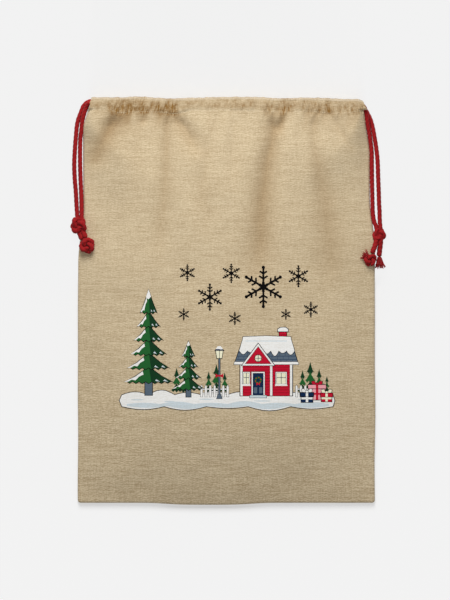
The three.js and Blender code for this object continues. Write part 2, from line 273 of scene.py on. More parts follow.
def newGroup(name, inputs, outputs):
    group = bpy.data.node_groups.new(name, "ShaderNodeTree")
    for label, kind in inputs:
        group.interface.new_socket(label, in_out="INPUT", socket_type=kind)
    for label, kind in outputs:
        group.interface.new_socket(label, in_out="OUTPUT", socket_type=kind)
    return group, group.nodes.new("NodeGroupInput").outputs, group.nodes.new("NodeGroupOutput").inputs


def useGroup(tree, group, **values):
    node = addNode(tree, "Group", node_tree=group)
    for label, value in values.items():
        link(tree, value, node.inputs[label])
    return node.outputs


def newMaterial(name, roughness, sheen=0.0):
    material = bpy.data.materials.new(name)
    material.use_nodes = True
    tree = material.node_tree
    shader = tree.nodes["Principled BSDF"]
    shader.inputs["Roughness"].default_value = roughness
    shader.inputs["Specular IOR Level"].default_value = 0.2
    shader.inputs["Sheen Weight"].default_value = sheen
    return material, tree, shader


def addBump(tree, shader, height, strength, distance):
    bump = addNode(tree, "Bump")
    for label, value in (("Strength", strength), ("Distance", distance), ("Height", height)):
        link(tree, value, bump.inputs[label])
    link(tree, bump.outputs[0], shader.inputs["Normal"])


def uvOf(tree):
    return addNode(tree, "UVMap").outputs[0]


# Plain weave of uneven yarns, on UV in metres

weave = {
    "pitch": 0.00125,
    "drift": 0.3, "driftAlong": 12, "driftAcross": 60,
    "crossing": 0.40, "warpHump": 0.50, "weftHump": 0.75,
    "streak": 195, "rowShift": 7.37,
    "nextYarn": -0.62, "longStretch": 0.12, "longShare": 0.7,
    "warpStretch": 0.42, "warpShare": 0.54,
    "contrast": 1.48, "lowContrast": 0.82, "lowReach": 0.4,
}


def makeWeaveGroup():
    group, given, result = newGroup(
        "juteWeave",
        [("UV", "NodeSocketVector")],
        [("Height", "NodeSocketFloat"), ("Gap", "NodeSocketFloat"), ("Tone", "NodeSocketFloat")],
    )
    acrossCloth, upCloth, _ = partsOf(group, given["UV"])
    # yarns wander sideways along their length
    along, across = weave["driftAlong"], weave["driftAcross"]
    warpDrift = stretchedNoise(group, given["UV"], (across, along, 1), 2, (3, 7, 0))
    weftDrift = stretchedNoise(group, given["UV"], (along, across, 1), 2, (11, 5, 0))

    def yarnNumber(place, drift):
        number = calc(group, "DIVIDE", place, weave["pitch"])
        return calc(group, "MULTIPLY_ADD", drift, 2 * weave["drift"], number)

    u = yarnNumber(acrossCloth, warpDrift)
    v = yarnNumber(upCloth, weftDrift)

    def hump(value):
        centred = calc(group, "MULTIPLY_ADD", calc(group, "FRACT", value), 2, -1)
        return calc(group, "SUBTRACT", 1, calc(group, "MULTIPLY", centred, centred))

    def passing(run, yarn, sign):
        turn = calc(group, "MULTIPLY", calc(group, "ADD", run, calc(group, "FLOOR", yarn)), math.pi)
        return calc(group, "MULTIPLY", calc(group, "SINE", turn), sign)

    def yarnTone(along, yarn, shift):
        # every yarn has its own thick and thin, pale and dark stretches
        row = calc(group, "ADD", calc(group, "FLOOR", yarn), shift)
        place = addNode(group, "CombineXYZ", calc(group, "MULTIPLY", along, weave["streak"]),
                        calc(group, "MULTIPLY", row, weave["rowShift"]))
        return noiseAt(group, place.outputs[0], 1)

    warpHump = calc(group, "MULTIPLY", hump(u), weave["warpHump"])
    weftHump = calc(group, "MULTIPLY", hump(v), weave["weftHump"])
    warp = calc(group, "MULTIPLY_ADD", passing(v, u, 1), weave["crossing"], warpHump)
    weft = calc(group, "MULTIPLY_ADD", passing(u, v, -1), weave["crossing"], weftHump)
    link(group, calc(group, "MAXIMUM", warp, weft), result["Height"])
    gap = calc(group, "MULTIPLY", calc(group, "SUBTRACT", 1, hump(u)), calc(group, "SUBTRACT", 1, hump(v)))
    link(group, gap, result["Gap"])
    # a weft yarn stands out from the next one, and has long stretches besides its short ones
    tone = calc(group, "MULTIPLY_ADD", yarnTone(acrossCloth, v, 1), weave["nextYarn"],
                yarnTone(acrossCloth, v, 0))
    longWay = calc(group, "MULTIPLY", acrossCloth, weave["longStretch"])
    tone = calc(group, "MULTIPLY_ADD", yarnTone(longWay, v, 57), weave["longShare"], tone)
    upWay = calc(group, "MULTIPLY", upCloth, weave["warpStretch"])
    warpTone = calc(group, "SUBTRACT", yarnTone(upWay, u, 131), 0.5)
    tone = calc(group, "MULTIPLY_ADD", warpTone, weave["warpShare"], tone)
    # the cloth is more uneven towards the foot of the sack
    low = calc(group, "SUBTRACT", weave["lowReach"], upCloth)
    low = calc(group, "MULTIPLY", low, weave["lowContrast"] / weave["lowReach"])
    contrast = calc(group, "ADD", calc(group, "MAXIMUM", low, 0), weave["contrast"])
    middle = 0.5 * (1 + weave["nextYarn"] + weave["longShare"])
    tone = calc(group, "MULTIPLY_ADD", calc(group, "SUBTRACT", tone, middle), contrast, 0.5)
    link(group, tone, result["Tone"])
    return group


hairs = {"along": 420, "slant": 1500, "round": 26, "tone": (60, 3, 1)}


def makeFibreGroup():
    # fine hairs along U, for thread and cord; V runs once round from 0 to 1
    group, given, result = newGroup(
        "spunFibre",
        [("UV", "NodeSocketVector")],
        [("Height", "NodeSocketFloat"), ("Tone", "NodeSocketFloat")],
    )
    along, turn, _ = partsOf(group, given["UV"])
    slant = calc(group, "MULTIPLY_ADD", along, hairs["slant"], calc(group, "MULTIPLY", turn, hairs["round"]))
    slanted = addNode(group, "CombineXYZ", calc(group, "MULTIPLY", along, hairs["along"]), slant)
    link(group, noiseAt(group, slanted.outputs[0], 3), result["Height"])
    link(group, stretchedNoise(group, given["UV"], hairs["tone"], 3), result["Tone"])
    return group


weaveGroup = makeWeaveGroup()
fibreGroup = makeFibreGroup()

jute = {
    "light": (0.800, 0.665, 0.450),
    "dark": (0.440, 0.325, 0.185),
    "gap": (0.250, 0.165, 0.080), "gapShare": 0.6,
    "patch": (0.560, 0.445, 0.280), "patchShare": 0.35, "patchScale": (14, 20, 1),
    # painted shade: the greyer colour laid on the hem's folded top edge
    "edge": (0.500, 0.465, 0.405), "edgeShadeShare": 0.75,
    # painted shade: the brown that darkens creases, folds and the hem, broken into marks in the hem
    "crease": (0.400, 0.255, 0.090), "markScale": (400, 120, 1), "markShare": 0.80, "unmarked": -0.22,
    "creaseShare": 0.60,
    # slope of each zone and the place up the cloth, or the noise, at which it begins
    "hemZone": (110, 0.652), "topZone": (143, 0.679), "outsideZone": (-125, 0.700), "markZone": (2.2, 0.25),
    "roughness": 0.9, "sheen": 0.15, "bump": 0.5, "bumpHeight": 0.0004,
}


def juteMaterial(name):
    material, tree, shader = newMaterial(name, jute["roughness"], jute["sheen"])
    uv = uvOf(tree)
    cloth = useGroup(tree, weaveGroup, UV=uv)
    colour = blendColours(tree, clamped(tree, cloth["Tone"]), jute["dark"], jute["light"])
    patches = stretchedNoise(tree, uv, jute["patchScale"], 3, (4, 4, 0))
    patches = calc(tree, "MULTIPLY", patches, jute["patchShare"])
    colour = blendColours(tree, patches, colour, jute["patch"])
    colour = blendColours(tree, calc(tree, "MULTIPLY", cloth["Gap"], jute["gapShare"]), colour, jute["gap"])
    # painted shade: the folded top edge of the hem is greyer and darker, as if shaded where the cloth turns
    # over
    upCloth = partsOf(tree, uv)[1]
    shadedTop = calc(tree, "MULTIPLY", clamped(tree, upCloth, *jute["topZone"]),
                 clamped(tree, upCloth, *jute["outsideZone"]))
    colour = blendColours(tree, calc(tree, "MULTIPLY", shadedTop, jute["edgeShadeShare"]), colour, jute["edge"])
    # painted shade: the crease attribute darkens the hem's creases, the soft folds below it, the gathered hem
    # and its top edge with a brown
    crease = addNode(tree, "Attribute", attribute_name="crease")
    # in the hem this painted shade is broken into short marks, below it it is even
    marks = clamped(tree, stretchedNoise(tree, uv, jute["markScale"], 2, (9, 2, 0)), *jute["markZone"])
    marks = calc(tree, "MULTIPLY_ADD", marks, jute["markShare"], jute["unmarked"])
    paintedCreaseShade = calc(tree, "MULTIPLY_ADD", marks, clamped(tree, upCloth, *jute["hemZone"]), jute["creaseShare"])
    paintedCreaseShade = calc(tree, "MULTIPLY", crease.outputs["Fac"], paintedCreaseShade)
    colour = blendColours(tree, paintedCreaseShade, colour, jute["crease"], "MULTIPLY")
    link(tree, colour, shader.inputs["Base Color"])
    addBump(tree, shader, cloth["Height"], jute["bump"], jute["bumpHeight"])
    return material


cotton = {
    "base": (0.270, 0.004, 0.005), "baseShare": 0.45,
    "light": (0.370, 0.008, 0.010), "hairShare": 0.4,
    "dark": (0.130, 0.002, 0.003),
    "roughness": 0.8, "sheen": 0.12, "sheenRoughness": 0.4, "bump": 0.5, "bumpHeight": 0.0004,
}


def cottonMaterial():
    material, tree, shader = newMaterial("redCotton", cotton["roughness"], cotton["sheen"])
    shader.inputs["Sheen Roughness"].default_value = cotton["sheenRoughness"]
    fibre = useGroup(tree, fibreGroup, UV=uvOf(tree))
    colour = blendColours(tree, fibre["Tone"], cotton["dark"], cotton["light"])
    colour = blendColours(tree, cotton["baseShare"], colour, cotton["base"])
    paleHairs = calc(tree, "MULTIPLY", fibre["Height"], cotton["hairShare"])
    colour = blendColours(tree, paleHairs, colour, cotton["light"])
    link(tree, colour, shader.inputs["Base Color"])
    addBump(tree, shader, fibre["Height"], cotton["bump"], cotton["bumpHeight"])
    return material


thread = {
    "dark": (0.50, 0.40, 0.25), "light": (0.72, 0.62, 0.44),
    "roughness": 0.7, "sheen": 0.2, "bump": 0.4, "bumpHeight": 0.0002,
}


def threadMaterial():
    material, tree, shader = newMaterial("hemThread", thread["roughness"], thread["sheen"])
    fibre = useGroup(tree, fibreGroup, UV=uvOf(tree))
    colour = blendColours(tree, fibre["Height"], thread["dark"], thread["light"])
    link(tree, colour, shader.inputs["Base Color"])
    addBump(tree, shader, fibre["Height"], thread["bump"], thread["bumpHeight"])
    return material


juteCloth = juteMaterial("juteCloth")
redCotton = cottonMaterial()
hemThread = threadMaterial()


def dress(piece, material):
    piece.data.materials.clear()
    piece.data.materials.append(material)


print("materials made")


# Cords: three-ply twisted cotton. The points follow the solid cords' routes and leave the hem a little lower

cordLook = {
    "radius": 0.0039, "declared": 0.0065, "plies": 3, "groove": 0.13, "lay": 0.023,
    "sides": 24, "step": 0.0012, "insideHem": 0.007,
    # beyond the joining knot the plies spread and the cord is thicker
    "tailSwell": 1.18, "swellFrom": 0.120, "swellRun": 0.010,
}

strandRoutes = {
    "left_back": [
        (-0.2300, 0.3343, 0.0048), (-0.2328, 0.3335, 0.0048), (-0.2358, 0.3316, 0.0047),
        (-0.2388, 0.3288, 0.0044), (-0.2416, 0.3249, 0.0042), (-0.2438, 0.3190, 0.0040),
        (-0.2462, 0.3130, 0.0040), (-0.2495, 0.3040, 0.0040), (-0.2518, 0.2930, 0.0040),
        (-0.2534, 0.2760, 0.0040), (-0.2549, 0.2580, 0.0040), (-0.2563, 0.2270, 0.0040),
        (-0.2553, 0.2020, 0.0040), (-0.2537, 0.1835, 0.0040), (-0.2524, 0.1600, 0.0048),
        (-0.2516, 0.1470, 0.0064), (-0.2510, 0.1381, 0.0076),
    ],
    "left_front": [
        (-0.2300, 0.3325, 0.0198), (-0.2322, 0.3312, 0.0188), (-0.2340, 0.3285, 0.0168),
        (-0.2356, 0.3249, 0.0146), (-0.2372, 0.3205, 0.0128), (-0.2392, 0.3155, 0.0116),
        (-0.2412, 0.3081, 0.0102), (-0.2428, 0.3013, 0.0090), (-0.2438, 0.2910, 0.0072),
        (-0.2447, 0.2828, 0.0058), (-0.2459, 0.2727, 0.0044), (-0.2464, 0.2600, 0.0040),
        (-0.2464, 0.2270, 0.0040), (-0.2456, 0.2020, 0.0040), (-0.2448, 0.1835, 0.0044),
        (-0.2441, 0.1600, 0.0072), (-0.2440, 0.1470, 0.0090), (-0.2438, 0.1385, 0.0102),
    ],
    "right_back": [
        (0.2290, 0.3270, 0.0048), (0.2305, 0.3252, 0.0048), (0.2322, 0.3228, 0.0047),
        (0.2340, 0.3200, 0.0045), (0.2360, 0.3165, 0.0042), (0.2384, 0.3120, 0.0040),
        (0.2410, 0.3070, 0.0040), (0.2436, 0.3000, 0.0040), (0.2462, 0.2900, 0.0040),
        (0.2490, 0.2750, 0.0040), (0.2518, 0.2576, 0.0040), (0.2541, 0.2374, 0.0040),
        (0.2555, 0.2020, 0.0040), (0.2564, 0.1784, 0.0040), (0.2568, 0.1620, 0.0042),
        (0.2576, 0.1500, 0.0045), (0.2578, 0.1400, 0.0050), (0.2582, 0.1310, 0.0056),
        (0.2590, 0.1228, 0.0062),
    ],
    "right_front": [
        (0.2290, 0.3270, 0.0198), (0.2304, 0.3264, 0.0188), (0.2318, 0.3246, 0.0170),
        (0.2330, 0.3220, 0.0150), (0.2341, 0.3190, 0.0132), (0.2350, 0.3155, 0.0120),
        (0.2357, 0.3110, 0.0113), (0.2365, 0.3050, 0.0104), (0.2374, 0.2980, 0.0092),
        (0.2389, 0.2890, 0.0076), (0.2412, 0.2760, 0.0054), (0.2431, 0.2620, 0.0042),
        (0.2444, 0.2500, 0.0040), (0.2447, 0.2260, 0.0040), (0.2449, 0.2020, 0.0040),
        (0.2454, 0.1784, 0.0040), (0.2458, 0.1600, 0.0042), (0.2462, 0.1480, 0.0046),
        (0.2472, 0.1390, 0.0052), (0.2490, 0.1310, 0.0059), (0.2518, 0.1235, 0.0064),
    ],
}
tailRoutes = {
    "left_back": [(-0.2477, 0.1133, 0.0098), (-0.2452, 0.107, 0.011), (-0.2429, 0.1008, 0.0126)],
    "left_front": [(-0.2413, 0.1157, 0.012), (-0.2391, 0.1098, 0.0132), (-0.2368, 0.1036, 0.0146)],
    "right_front": [
        (0.2522, 0.0990, 0.0075), (0.2500, 0.0910, 0.0093), (0.2472, 0.0840, 0.0112),
        (0.2447, 0.0775, 0.0122),
    ],
    "right_back": [
        (0.2594, 0.0985, 0.0062), (0.2586, 0.0900, 0.0052), (0.2576, 0.0820, 0.0052),
        (0.2572, 0.0750, 0.0056), (0.2572, 0.0726, 0.0056),
    ],
}
# where each strand passes its joining knot
knotPasses = {
    "left_back": (-0.2495, 0.1257, 0.0090), "left_front": (-0.2426, 0.1270, 0.0114),
    "right_back": (0.2600, 0.1105, 0.0066), "right_front": (0.2535, 0.1110, 0.0068),
}


def twistedTube(name, path, radius, swell=1, sides=cordLook["sides"]):
    # Rings of a three-lobed section turn along the path; both ends round off and close
    run = runAlong(path)
    ahead = np.gradient(path, axis=0)
    ahead /= np.linalg.norm(ahead, axis=1)[:, None]
    side = np.cross(ahead[0], (0.13, 0.31, 0.94))  # any direction that no cord starts in
    asides = []
    for direction in ahead:
        side = side - direction * side.dot(direction)
        side /= np.linalg.norm(side)
        asides.append(side)
    asides = np.array(asides)
    ups = np.cross(ahead, asides)
    fromEnd = np.minimum(run, run[-1] - run) / radius
    rounding = np.sqrt(np.clip(1 - (1 - np.clip(fromEnd, 0, 1)) ** 2, 0, 1))
    girth = radius * rounding * swell

    def place(column, row):
        angle = row / sides * 2 * math.pi
        lobe = 1 - cordLook["groove"] * (1 - np.abs(np.cos(angle * cordLook["plies"] / 2)))
        turned = angle + run[column] / cordLook["lay"] * 2 * math.pi
        reach = (girth[column] * lobe)[:, None]
        arm = asides[column] * np.cos(turned)[:, None] + ups[column] * np.sin(turned)[:, None]
        return path[column] + arm * reach, np.stack([run[column], row / sides], axis=1)

    piece = shapedGrid(name, len(path) - 1, sides, place)

    def close():
        mergeDoubles()
        turnOutwards()

    inEditMode(piece, close)
    bpy.ops.object.shade_smooth()
    dress(piece, redCotton)
    return piece


def makeStrand(side, layer):
    key = side + "_" + layer
    route = strandRoutes[key]
    x, y, z = route[0]
    inside = (x - math.copysign(cordLook["insideHem"], x), y, z)
    path = throughPoints([inside, *route, knotPasses[key], *tailRoutes[key]], cordLook["step"])
    onTail = smooth((cordLook["swellFrom"] - path[:, 1]) / cordLook["swellRun"])
    swell = 1 + (cordLook["tailSwell"] - 1) * onTail
    piece = twistedTube(key + "_cord", path, cordLook["radius"], swell)
    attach(piece, side + "_drawcord")
    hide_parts(key + "_strand", key + "_tail")
    return piece


# Knots: the cord wraps round itself, pulled tight

knots = {
    "left_join_knot": {"place": (-0.2488, 0.1257, 0.0106), "size": 1.1, "tilt": -20, "turn": 90},
    "left_end_knot": {"place": (-0.2345, 0.0917, 0.0150), "size": 1.06, "tilt": -14, "turn": -60},
    "right_join_knot": {"place": (0.2570, 0.1105, 0.0070), "size": 0.9, "tilt": 0, "turn": 90},
    "right_front_end_knot": {"place": (0.242, 0.0674, 0.0126), "size": 0.85, "tilt": 10, "turn": -90},
}
knotLook = {
    "radius": 0.0038, "step": 0.00096, "thick": 0.0056, "gap": 0.0005, "ringRoom": 0.0004, "points": 160,
    "lumps": [(130, 0.0016), (420, 0.0007)],
}


def knotPath(size, place, tilt, turn):
    # Overhand knot: three times through its own ring
    thick = (knotLook["thick"] + knotLook["gap"]) * size
    lobe = thick / 2
    ring = lobe + thick / math.sqrt(3) + knotLook["ringRoom"] * size
    angle = np.linspace(0, 4 * math.pi, knotLook["points"])
    out = ring + lobe * np.cos(1.5 * angle)
    local = np.stack([out * np.cos(angle), out * np.sin(angle), lobe * np.sin(1.5 * angle)], axis=1)
    a, b = math.radians(tilt), math.radians(turn)
    turned = local @ np.array([[math.cos(b), math.sin(b), 0], [-math.sin(b), math.cos(b), 0], [0, 0, 1]])
    tilted = turned @ np.array([[math.cos(a), 0, -math.sin(a)], [0, 1, 0], [math.sin(a), 0, math.cos(a)]])
    return tilted + np.array(place)


def squeeze(piece, middle, size):
    # a pulled knot is lumpy and pressed together
    for vertex in piece.data.vertices:
        lump = sum(noise.noise(vertex.co * scale) * height for scale, height in knotLook["lumps"])
        vertex.co += (vertex.co - middle).normalized() * lump * size


def makeKnot(name, body):
    values = knots[name]
    path = evenSteps(knotPath(**values), knotLook["step"])
    piece = twistedTube(name + "_wraps", path, knotLook["radius"] * values["size"])
    squeeze(piece, Vector(values["place"]), values["size"])
    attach(piece, body)
    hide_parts(name)
    return piece


# Cord inside the hems: through the front one, round the far corner and back through the rear one

heldCord = {
    "radius": 0.0031, "step": 0.002, "turnPoints": 24,
    "turnRoom": 0.009, "endRoom": 0.006,
    # room under the lower track and between both, in shares of a third of the hem's free height
    "lowRoom": 1.15, "betweenRoom": 0.1,
}


def makeHeldCord(side, sign, trackY):
    frontZ, backZ = sack["frontRunZ"], sack["hemDepth"] / 2
    radius = (frontZ - backZ) / 2
    turnX = sack["mouthHalf"] - radius - cordLook["declared"] / 2 - heldCord["turnRoom"]
    angle = np.linspace(0, math.pi, heldCord["turnPoints"])
    turn = np.stack([-sign * (turnX + radius * np.sin(angle)), np.full_like(angle, trackY),
                     (frontZ + backZ) / 2 + radius * np.cos(angle)], axis=1)
    end = sign * (sack["mouthHalf"] - heldCord["endRoom"])
    path = np.vstack([[(end, trackY, frontZ)], turn, [(end, trackY, backZ)]])
    piece = twistedTube(side + "_cord_in_hem", evenSteps(path, heldCord["step"]), heldCord["radius"])
    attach(piece, side + "_drawcord")
    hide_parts(side + "_cord_loop")
    return piece


def makeHeldCords():
    half = cordLook["declared"] / 2
    space = (sack["hemTopY"] - sack["hemFootY"] - 2 * sack["thickness"] - 4 * half) / 3
    lower = sack["hemFootY"] + sack["thickness"] + space * heldCord["lowRoom"] + half
    makeHeldCord("left", -1, lower + 2 * half + space * heldCord["betweenRoom"])
    makeHeldCord("right", 1, lower)


# Frayed ends: loose threads that fan out of a cord

frays = {
    "right_back_fray": {"start": (0.2572, 0.0732, 0.0056), "ahead": (0.08, -1, 0), "length": 0.021,
                        "spread": 0.0072, "count": 90, "seed": 5},
    "right_front_fray": {"start": (0.240, 0.070, 0.0128), "ahead": (-0.8, 0.55, 0), "length": 0.015,
                         "spread": 0.009, "count": 48, "seed": 9},
}
looseThread = {"rootReach": 0.0026, "bow": 0.0012, "flatness": 0.6, "thin": 0.0004, "thick": 0.0006,
               "step": 0.0014, "lowest": 0.0008, "sides": 6}


def threadRoute(rand, start, ahead, across, length, spread):
    angle = rand.uniform(0, 2 * math.pi)
    reach = math.sqrt(rand.random())
    sideways, upwards = across * math.cos(angle), Vector((0, 0, 1)) * math.sin(angle)
    root = start + (sideways + upwards) * looseThread["rootReach"] * reach
    fan = (sideways + upwards * looseThread["flatness"]) * spread * reach
    bow = Vector([rand.uniform(-1, 1) for _ in range(3)]) * looseThread["bow"]
    far = length * rand.uniform(0.7, 1.0)
    route = []
    for s in (0, 0.25, 0.5, 0.75, 1):
        point = root + ahead * far * s + fan * s ** 1.4 + bow * math.sin(s * 5)
        route.append((point.x, point.y, max(point.z, looseThread["lowest"])))
    return route


def makeFray(name):
    values = frays[name]
    rand = random.Random(values["seed"])
    start, ahead = Vector(values["start"]), Vector(values["ahead"]).normalized()
    across = ahead.cross(Vector((0, 0, 1))).normalized()
    threads = []
    for _ in range(values["count"]):
        route = threadRoute(rand, start, ahead, across, values["length"], values["spread"])
        path = throughPoints(route, looseThread["step"])
        radius = rand.uniform(looseThread["thin"], looseThread["thick"])
        threads.append(twistedTube("thread", path, radius, sides=looseThread["sides"]))
    selectOnly(*threads)
    bpy.ops.object.join()
    piece = bpy.context.object
    piece.name = name
    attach(piece, "right_drawcord")
    return piece


leftJoin = makeKnot("left_join_knot", "left_drawcord")
leftEnd = makeKnot("left_end_knot", "left_drawcord")
rightJoin = makeKnot("right_join_knot", "right_drawcord")
rightEnd = makeKnot("right_front_end_knot", "right_drawcord")
teasedEnd = makeFray("right_back_fray")
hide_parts("right_back_end_fray")
tuft = makeFray("right_front_fray")
makeStrand("left", "back")
makeStrand("left", "front")
makeStrand("right", "back")
makeStrand("right", "front")
makeHeldCords()
print("cords made")


# Shape of the cloth, as functions of the place on the sack

clothShape = {
    "seamRoll": 0.0039, "bottomSharp": 1.8,
    "crownLift": 0.0216, "sideRun": 0.200, "bottomRun": 0.170, "neckRun": 0.090, "neckSideRun": 0.012,
    "mouthRise": 0.0051, "edgeRise": 0.0115, "edgeRiseLow": 0.262, "backEdgeRun": 0.016,
    "foldMouth": 0.3195, "foldFade": 0.029, "creaseSpread": 0.010,
    "flare": 0.0050, "flareLow": 0.285,
    "columnStep": 0.00145, "rowStep": 0.0045, "neckStep": 0.0016, "neckLength": 0.0315, "hemStep": 0.0012,
}
# Soft folds below the hem, each as stations (x, y, half width, depth) down its valley, in millimetres
mainFolds = [
    [(-183, 326, 9, 3), (-191, 302, 16, 8), (-205, 272, 20, 8.8), (-220, 240, 20, 7.4), (-231, 208, 20, 0)],
    [(-102, 326, 6, 2), (-101, 300, 8, 3.5), (-101, 236, 10.5, 4.4), (-105, 168, 13.5, 3.9),
     (-112, 101, 16, 2.4), (-114, 50, 17, 0)],
    [(-94, 326, 8, 3), (-76, 298, 14, 5.6), (-61, 275, 17, 5.6), (-52, 252, 18, 3), (-48, 232, 18, 0)],
    [(-139, 326, 5, 2), (-139, 308, 7, 3), (-141, 290, 8, 0)],
    [(-14, 326, 5, 1), (-24, 290, 9, 1.2), (-42, 190, 14, 2.2), (-36, 140, 16, 1.4), (-34, 80, 16, 0)],
    [(70, 326, 8, 2), (76, 306, 10, 4.4), (79, 290, 12, 5.8), (76, 262, 13.5, 6.8), (69, 236, 15.5, 7.5),
     (60, 168, 20, 8.4), (57, 101, 23, 7.5), (53, 50, 24, 4), (52, 0, 25, 0)],
    [(99, 326, 6, 4), (95, 306, 8, 6.5), (90, 288, 9, 3.4), (86, 268, 10, 0)],
    [(150, 326, 6, 2.2), (147, 300, 8, 3.2), (147, 260, 10.5, 3.4), (153, 236, 14, 4.2), (165, 168, 21, 5.8),
     (173, 101, 26, 5.8), (176, 50, 29, 3.6), (174, -5, 30, 0)],
    [(176, 326, 4, 1), (186, 294, 6, 1.8), (207, 262, 8, 1.6), (222, 240, 9, 0)],
    [(-146, 326, 8, 1.5), (-150, 260, 14, 1.4), (-158, 180, 18, 1), (-160, 120, 18, 0)],
    [(14, 326, 8, 1), (10, 250, 14, 1.2), (4, 180, 18, 0)],
]
# Stretches of the hem that the cords have drawn together: from, to, creases, their depth and their painted
# shade
puckerZones = [
    (-222, -200, 5, 1.0, 0.30), (-200, -160, 12, 2.4, 0.68), (-160, -108, 15, 2.0, 0.68),
    (-108, -80, 9, 2.3, 0.58), (-80, 36, 20, 0.7, 0.13), (36, 62, 5, 0.8, 0.12), (62, 92, 10, 1.9, 0.28),
    (92, 114, 6, 2.3, 0.52), (114, 126, 2, 0.7, 0.16), (126, 155, 9, 1.9, 0.34), (155, 175, 6, 2.2, 0.50),
    (175, 190, 4, 1.0, 0.34), (190, 230, 14, 1.2, 0.36),
]
# How far the drawn-in hem strays from straight, in millimetres: its top edge downwards, its stitching upwards
hemLines = {
    "top": [
        (-232, 1.0), (-226, 1.3), (-185, 1.9), (-145, 0.7), (-117, 2.6), (-90, 3.2), (-50, 2.3), (-10, 1.2),
        (30, 1.0), (60, 1.5), (84, 3.2), (130, 2.4), (165, 2.8), (192, 4.2), (210, 4.7), (226, 4.0),
        (238, 2.0),
    ],
    "foot": [
        (-236, 0), (-222, 0.8), (-197, 1.5), (-181, -4.0), (-164, -2.5), (-140, -2.1), (-112, -2.8),
        (-87, -5.4), (-73, -3.2), (-60, 0.2), (-20, -0.3), (60, -0.7), (98, -2.8), (137, -1.2),
        (171, -4.4), (198, -4.4), (219, -1.5), (232, 0),
    ],
}


def unevenness(x, y, sizeX, sizeY, seed):
    # a noise between about -1 and 1; a Noise entry in a dictionary holds its last three values
    values = [noise.noise(Vector((a / sizeX, b / sizeY, seed))) for a, b in zip(x.ravel(), y.ravel())]
    return np.array(values).reshape(x.shape)


def alongHem(x, stations):
    line = throughPoints([(a * mm, b * mm, 0) for a, b in stations], 0.002)
    return np.interp(x, line[:, 0], line[:, 1])


edges = {
    "bowIn": 0.0011, "bowOut": -0.0022, "bowX": -0.030, "bowHalf": 0.078, "bowHeight": 0.120,
    "stray": 0.0011, "strayNoise": (1.0, 0.110, 3.4), "strayTop": 0.30, "strayFade": 0.05, "strayWidth": 0.25,
    "footReach": 0.011,
}


def outlineWave(x, y):
    # the lower edge bows out in the middle, the sides stray a little and the hem's foot waves
    inBow = np.exp(-((x - edges["bowX"]) / edges["bowHalf"]) ** 4)
    low = 1 - smooth((y - sack["bottomY"]) / edges["bowHeight"])
    bow = mix(edges["bowIn"], edges["bowOut"], inBow) * low
    stray = edges["stray"] * unevenness(np.sign(x), y, *edges["strayNoise"])
    belowNeck = smooth((edges["strayTop"] - y) / edges["strayFade"])
    stray = stray * smooth(np.abs(x) / edges["strayWidth"]) * belowNeck
    foot = alongHem(x, hemLines["foot"]) * np.exp(-((y - sack["hemFootY"]) / edges["footReach"]) ** 2)
    return x + stray * np.sign(x), y + bow + foot


def narrowed(y, part):
    return part["narrowing"] * smooth((y - part["low"]) / (part["high"] - part["low"]))


def halfWidthAt(y, onLeft):
    # the left edge keeps its width for longer, beside the cord that lies against it
    corner = sack["cornerRadius"]
    ofLeft = narrowed(y, sack["leftWaist"]) + narrowed(y, sack["leftNeck"])
    ofRight = narrowed(y, sack["waist"]) + narrowed(y, sack["neck"])
    half = sack["halfWidth"] - np.where(onLeft, ofLeft, ofRight)
    inCorner = np.maximum(0, corner - (y - sack["bottomY"]))
    return half - (corner - np.sqrt(corner ** 2 - inCorner ** 2))


def flareAt(y):
    # the right end of the hem stands over the cord that leaves it
    low = clothShape["flareLow"]
    return clothShape["flare"] * smooth((y - low) / (sack["hemFootY"] - low))


def edgeRiseAt(y):
    low = clothShape["edgeRiseLow"]
    return clothShape["edgeRise"] * smooth((y - low) / (sack["hemFootY"] - low))


def backRiseAt(y, side):
    # near the mouth the seams lift the back cloth's edges
    return edgeRiseAt(y) * (1 - smooth(side / clothShape["backEdgeRun"]))


def foldDepth(x, y):
    depth = np.zeros_like(x)
    for stations in mainFolds:
        middleX, middleY, width, deep = np.array(stations, float).T[:, ::-1] * mm
        q = np.abs(x - np.interp(y, middleY, middleX)) / np.interp(y, middleY, width)
        fade = smooth(np.interp(y, middleY, deep) / deep.max())
        depth += deep.max() * fade * np.exp(-q ** 1.6)
    return depth


def makeCreases():
    rand = random.Random(23)
    creases = []
    for low, high, count, depth, dark in puckerZones:
        for k in range(count):
            creases.append({
                "x": mix(low, high, (k + rand.uniform(0.1, 0.9)) / count) * mm,
                "lean": rand.uniform(-0.2, 0.45),
                "width": rand.uniform(0.8, 2.0) * mm,
                "depth": depth * rand.uniform(0.55, 1.15) * mm,
                # painted shade along this crease
                "dark": dark * rand.uniform(0.5, 1.1),
                "up": rand.uniform(6, 17) * mm,
                "down": rand.uniform(3, 18) * mm,
            })
    return creases


creases = makeCreases()


def sumOfCreases(x, fromStitch, value="depth", widening=1):
    # fromStitch is positive into the hem and negative down the sack, where a crease grows wider
    total = np.zeros_like(x)
    below = np.maximum(-fromStitch, 0)
    above = np.maximum(fromStitch, 0)
    for crease in creases:
        width = crease["width"] * (1 + below / clothShape["creaseSpread"]) * widening
        fade = np.where(fromStitch > 0, np.exp(-(above / crease["up"]) ** 2), np.exp(-below / crease["down"]))
        aside = x - crease["x"] - crease["lean"] * fromStitch
        total += crease[value] * fade * np.exp(-(aside / width) ** 2)
    return total


